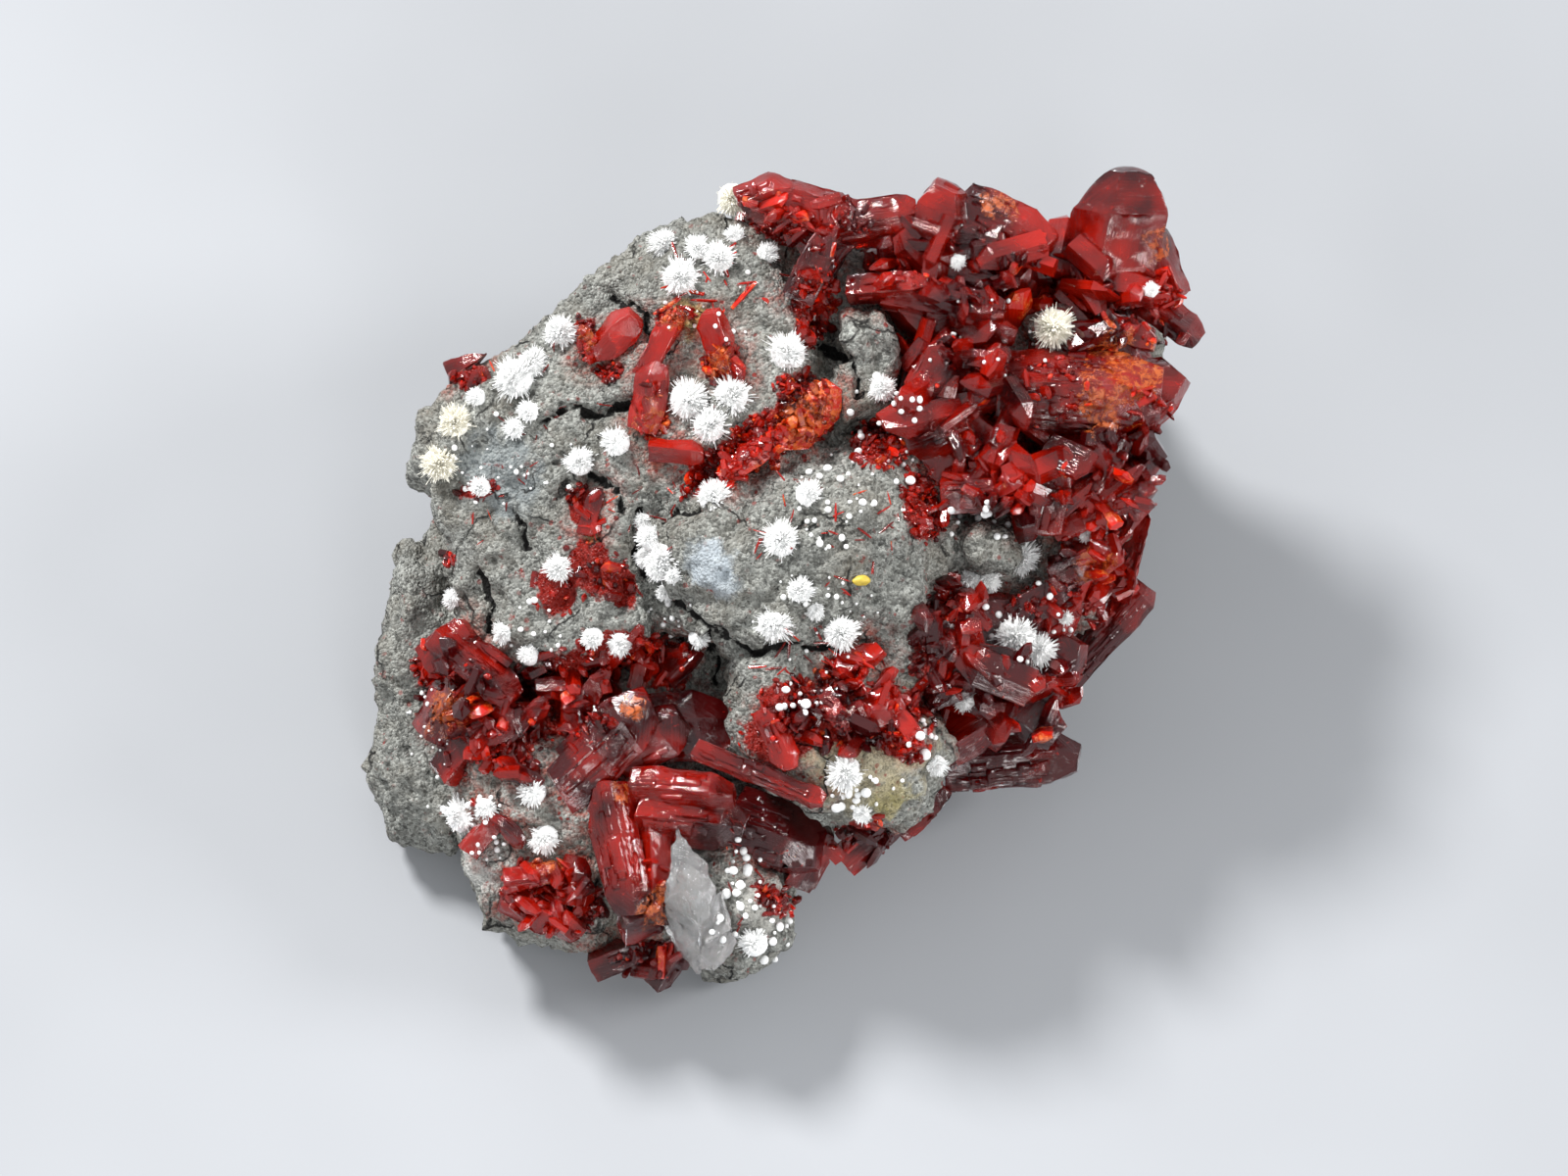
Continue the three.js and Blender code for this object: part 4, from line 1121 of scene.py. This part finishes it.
def small_crystal_form(flatness, tip):
    """A prism one unit long on the origin with a chisel tip."""
    form = new_form(
        bpy.ops.mesh.primitive_cylinder_add, vertices=6, radius=0.5, depth=1, location=(0, 0, 0.3),
    )
    bpy.ops.object.mode_set(mode="EDIT")
    bpy.ops.mesh.select_all(action="SELECT")
    bpy.ops.transform.resize(value=(1, flatness, 1))
    bpy.ops.mesh.select_all(action="DESELECT")
    shape = bmesh.from_edit_mesh(form.data)
    for face in shape.faces:
        face.select = face.normal.z > 0.9
    bmesh.update_edit_mesh(form.data)
    bpy.ops.mesh.extrude_region_move(TRANSFORM_OT_translate={"value": (0.12, 0, tip)})
    bpy.ops.transform.resize(value=(0.62, 0.22, 1))
    bpy.ops.object.mode_set(mode="OBJECT")
    return form


def ball_form(subdivisions):
    """A ball one unit in radius. With one subdivision it is a blocky crumb."""
    return new_form(bpy.ops.mesh.primitive_ico_sphere_add, subdivisions=subdivisions, radius=1)


class SPECIMEN_OT_small_crystals(bpy.types.Operator):
    """Strews small realgar crystals over the crusts, crumbs between them and splinters on bare rock"""

    bl_idname = "specimen.small_crystals"
    bl_label = "Small realgar crystals"

    def execute(self, context):
        crowding = context.scene.specimen_realgar.crowding
        surface = Surface([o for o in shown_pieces() if not o.name.startswith(("spray", "calcite"))])
        forms = [small_crystal_form(0.8, 0.3), small_crystal_form(0.5, 0.24), small_crystal_form(0.65, 0.4)]
        forms.append(ball_form(1))
        chance = random.Random(CRYSTALS_SEED)
        places = []
        for patch in CRYSTAL_PATCHES:
            places += self.crystals(surface, patch, int(patch[5] * crowding), chance)
            places += self.crumbs(surface, patch, int(patch[5] * crowding * 1.4), chance)
        for patch in SPLINTER_PATCHES:
            places += self.splinters(surface, patch, chance)
        piece = strew("small_realgar_crystals", forms, places)
        remove_forms(forms)
        map_along_edges(piece)
        for material in realgar_finishes():
            piece.data.materials.append(material)
        finish_piece(piece, None)
        return {"FINISHED"}

    def reds(self, patch):
        """How often each red comes up in a patch."""
        return FINE_REDS if patch[7] < 2.7 else COARSE_REDS

    def crystals(self, surface, patch, count, chance):
        """Places of small crystals, which lie flatter where they cover a large one."""
        shortest, longest = patch[6:]
        places = []
        for u, v, place, normal, face in landings(surface, (*patch[:5], count), chance):
            covering = surface.on_large_crystal(face)
            if covering and chance.random() < CLEAN_SHARE:
                continue
            outward = (normal + OUT_OF_FACE * 0.5).normalized()
            lean = 2.6 if chance.random() < 0.55 else 0.7
            axis = random_axis(outward, lean, chance)
            length = (shortest + (longest - shortest) * chance.random() ** 1.6) * MM
            slim = chance.uniform(0.45, 0.95)
            if longest > 4:
                length *= 1.3
            if covering:
                axis = (axis - normal * axis.dot(normal) * 0.85).normalized()
                length *= 1.3
            foot = place - axis * length * 0.25
            if (foot + axis * length).z > CAD_BOX[1][2] - TOP_ROOM or under_spray(u, v):
                continue
            size = (length * slim, length * slim, length)
            grown = set_at(foot, axis, chance.uniform(0, 6.3), size)
            places.append((chance.randrange(3), grown, chance.choices((0, 1, 2, 3), self.reds(patch))[0]))
        return places

    def crumbs(self, surface, patch, count, chance):
        places = []
        for u, v, place, normal, face in landings(surface, (*patch[:5], count), chance):
            if surface.on_large_crystal(face) or under_spray(u, v):
                continue
            size = [chance.uniform(0.2, 0.55) * MM for _ in range(3)]
            grown = set_at(place, normal, chance.uniform(0, 6.3), size)
            places.append((3, grown, chance.choices((0, 1, 2, 3), self.reds(patch))[0]))
        return places

    def splinters(self, surface, patch, chance):
        places = []
        for _, _, place, normal, _ in landings(surface, patch, chance):
            axis = random_axis(normal, 0.2, chance).cross(random_axis(normal, 1.0, chance)).normalized()
            axis = (axis + normal * 0.25).normalized()
            length = chance.uniform(*patch[6:]) * MM
            size = (length * 0.2, length * 0.2, length)
            grown = set_at(place, axis, chance.uniform(0, 6.3), size)
            places.append((2, grown, chance.choices((1, 2), (3, 1))[0]))
        return places


class SPECIMEN_OT_calcite(bpy.types.Operator):
    """Softens the calcite crystal and gives it its milky clear finish"""

    bl_idname = "specimen.calcite"
    bl_label = "Calcite crystal"

    def execute(self, context):
        piece = copy_of_node("calcite_crystal", "calcite")
        merge_flat_faces(piece, 3)
        bevel_edges(piece, context.scene.specimen_calcite.edge_width, 3, 10)
        weather(piece, 0.7 * MM, [(0.0032, 0.0022), (0.0013, 0.0006)], 60)
        finish_piece(piece, calcite_finish(), ["calcite_crystal"])
        return {"FINISHED"}


def needle_form():
    """A thin needle one unit long on the origin."""
    return new_form(
        bpy.ops.mesh.primitive_cone_add, vertices=4, radius1=0.5, radius2=0.12, depth=1,
        location=(0, 0, 0.5),
    )


def spray_places(foot, axis, radius, needles, width, chance):
    """Places of the dense core and the needles of one spray."""
    places = [(1, set_at(foot, axis, 0, (radius * 0.7, radius * 0.7, radius * 0.6)), 0)]
    tufts = [(random_axis(axis, 1.0, chance), chance.uniform(0.72, 1.14)) for _ in range(110)]
    for way, reach in tufts:
        thick = radius * chance.uniform(0.18, 0.3)
        places.append((0, set_at(foot, way, 0, (thick, thick, radius * reach * 0.92)), 0))
    for _ in range(needles):
        lean, reach = chance.choice(tufts)
        way = random_axis(lean, 0.2, chance)
        if way.dot(axis) < 0.02:
            continue
        squat = 0.84 + 0.16 * (1 - way.dot(axis))
        length = radius * reach * squat * chance.uniform(0.84, 1.06)
        start = foot + (way - axis * 0.5) * radius * 0.1
        thick = width * chance.uniform(0.7, 1.2)
        places.append((0, set_at(start, way, chance.uniform(0, 1.5), (thick, thick, length)), 0))
    return places


class SPECIMEN_OT_sprays(bpy.types.Operator):
    """Grows the white needle sprays, the large ones in place of their solids"""

    bl_idname = "specimen.sprays"
    bl_label = "Needle sprays"

    def execute(self, context):
        settings = context.scene.specimen_spray
        white = white_finish("White needles", settings.colour)
        cream = white_finish("Cream needles", settings.cream)
        forms = [needle_form(), ball_form(2)]
        chance = random.Random(SPRAYS_SEED)
        surface = Surface([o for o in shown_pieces() if not o.name.startswith("spray")])
        for node, sprays in SPRAYS.items():
            own = Surface([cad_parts[node]])
            places = []
            for u, v, radius in sprays:
                top = own.drop(u, v)
                foot = top[0] - OUT_OF_FACE * radius * 0.8 * MM
                below = surface.drop(u, v)
                normal = below[1] if below else OUT_OF_FACE
                axis = (normal * 0.6 + OUT_OF_FACE).normalized()
                places += spray_places(
                    foot, axis, radius * MM, settings.needles, settings.needle_width, chance,
                )
            piece = strew(node.replace("spray", "needles"), forms, places)
            finish_piece(piece, cream if node in CREAM_SPRAYS else white, [node])
        places = []
        for u, v, radius in SMALL_SPRAYS:
            found = surface.drop(u, v)
            if found is None:
                continue
            place, normal = found[:2]
            axis = (normal + OUT_OF_FACE * 0.6).normalized()
            count = int(settings.needles * 0.5)
            places += spray_places(place, axis, radius * MM, count, settings.needle_width * 0.8, chance)
        piece = strew("small_sprays", forms, places)
        finish_piece(piece, white)
        remove_forms(forms)
        return {"FINISHED"}


class SPECIMEN_OT_balls(bpy.types.Operator):
    """Strews the small white balls over rock and crystals"""

    bl_idname = "specimen.balls"
    bl_label = "White balls"

    def execute(self, context):
        surface = Surface([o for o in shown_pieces() if not o.name.startswith(("needles", "small_sprays"))])
        forms = [ball_form(2)]
        chance = random.Random(BALLS_SEED)
        places = []
        for patch in BALL_PATCHES:
            smallest, largest = patch[6:]
            for _, _, place, normal, _ in landings(surface, patch, chance):
                radius = (smallest + (largest - smallest) * chance.random() ** 2) * MM
                squeeze = [radius * chance.uniform(0.85, 1.1) for _ in range(3)]
                at = Matrix.Translation(place + normal * radius * 0.4)
                places.append((0, at @ Matrix.Diagonal((*squeeze, 1)), 0))
        piece = strew("white_balls", forms, places)
        remove_forms(forms)
        make_active(piece)
        bpy.ops.object.shade_smooth()
        finish_piece(piece, white_finish("White balls", context.scene.specimen_spray.colour))
        return {"FINISHED"}


class SPECIMEN_OT_yellow_grain(bpy.types.Operator):
    """Adds the lone yellow grain on the bulge"""

    bl_idname = "specimen.yellow_grain"
    bl_label = "Yellow grain"

    def execute(self, context):
        place, normal = Surface([bpy.data.objects["rock"]]).drop(9.4, 1.0)[:2]
        piece = ball_form(3)
        piece.name = piece.data.name = "yellow_grain"
        size = (1.1 * MM, 0.62 * MM, 0.6 * MM)
        piece.data.transform(set_at(place + normal * 0.2 * MM, normal, -0.3, size))
        lay_waves(piece, 0.0008, 0.0005)
        bpy.ops.object.shade_smooth()
        finish_piece(piece, plain_finish("Yellow grain", (0.7, 0.5, 0.06), 0.0006, 0.5))
        return {"FINISHED"}


class SPECIMEN_OT_stage(bpy.types.Operator):
    """Sets up the floor, the soft lights and the camera"""

    bl_idname = "specimen.stage"
    bl_label = "Stage"

    def execute(self, context):
        settings = context.scene.specimen_stage
        self.add_floor(settings)
        for name, place, size, share in LIGHTS:
            self.add_light(name, place, size, settings.light_power * share)
        context.scene.view_settings.view_transform = "Standard"
        self.light_world(context)
        self.add_camera(context, settings)
        return {"FINISHED"}

    def add_floor(self, settings):
        deselect_all()
        bpy.ops.mesh.primitive_plane_add(size=6)
        floor = bpy.context.object
        floor.name = "floor"
        floor.data.materials.append(plain_finish("Pale floor", settings.floor, 0.5, 0.6))
        floor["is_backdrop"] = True

    def add_light(self, name, place, size, power):
        light = bpy.data.lights.new(name, "AREA")
        light.shape = "DISK"
        light.size = size
        light.energy = power
        lamp = bpy.data.objects.new(name, light)
        lamp.location = Vector(place)
        aim = Vector((0, 0, 0.03)) - lamp.location
        lamp.rotation_euler = aim.to_track_quat("-Z", "Y").to_euler()
        bpy.context.scene.collection.objects.link(lamp)

    def light_world(self, context):
        world = bpy.data.worlds.new("Soft room")
        world.use_nodes = True
        background = world.node_tree.nodes["Background"]
        feed_all(world.node_tree, background, {"Color": (0.94, 0.97, 1.0, 1), "Strength": 0.72})
        context.scene.world = world

    def add_camera(self, context, settings):
        lens = bpy.data.cameras.new("camera")
        lens.lens = 200
        lens.sensor_width = 36
        camera = bpy.data.objects.new("camera", lens)
        turn = Matrix((ACROSS, UP_FACE, OUT_OF_FACE)).transposed()
        place = FACE_MIDDLE + OUT_OF_FACE * settings.camera_distance
        camera.matrix_world = Matrix.Translation(place) @ turn.to_4x4()
        context.scene.collection.objects.link(camera)
        context.scene.camera = camera


PIECE_OPERATORS = (
    SPECIMEN_OT_rock,
    SPECIMEN_OT_crystals,
    SPECIMEN_OT_small_crystals,
    SPECIMEN_OT_calcite,
    SPECIMEN_OT_sprays,
    SPECIMEN_OT_balls,
    SPECIMEN_OT_yellow_grain,
    SPECIMEN_OT_stage,
)
SETTINGS = {
    "specimen_rock": RockSettings,
    "specimen_realgar": RealgarSettings,
    "specimen_spray": SpraySettings,
    "specimen_calcite": CalciteSettings,
    "specimen_stage": StageSettings,
}


class SPECIMEN_PT_panel(bpy.types.Panel):
    bl_idname = "SPECIMEN_PT_panel"
    bl_label = "Realgar on matrix"
    bl_space_type = "VIEW_3D"
    bl_region_type = "UI"
    bl_category = "Mineral"

    def draw(self, context):
        for operator in PIECE_OPERATORS:
            self.layout.operator(operator.bl_idname)
        for name, group in SETTINGS.items():
            box = self.layout.box()
            for setting in group.__annotations__:
                box.prop(getattr(context.scene, name), setting)


CLASSES = (*SETTINGS.values(), *PIECE_OPERATORS, SPECIMEN_PT_panel)


def register():
    for item in CLASSES:
        bpy.utils.register_class(item)
    for name, group in SETTINGS.items():
        setattr(bpy.types.Scene, name, PointerProperty(type=group))


def unregister():
    for name in SETTINGS:
        delattr(bpy.types.Scene, name)
    for item in reversed(CLASSES):
        bpy.utils.unregister_class(item)


def main():
    register()
    bpy.ops.specimen.rock()
    bpy.ops.specimen.crystals()
    bpy.ops.specimen.small_crystals()
    bpy.ops.specimen.calcite()
    bpy.ops.specimen.sprays()
    bpy.ops.specimen.balls()
    bpy.ops.specimen.yellow_grain()
    bpy.ops.specimen.stage()
    boxes = {"cad": CAD_BOX, "visual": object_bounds()}
    plain = {name: [list(corner) for corner in box] for name, box in boxes.items()}


if __name__ == "__main__":
    main()
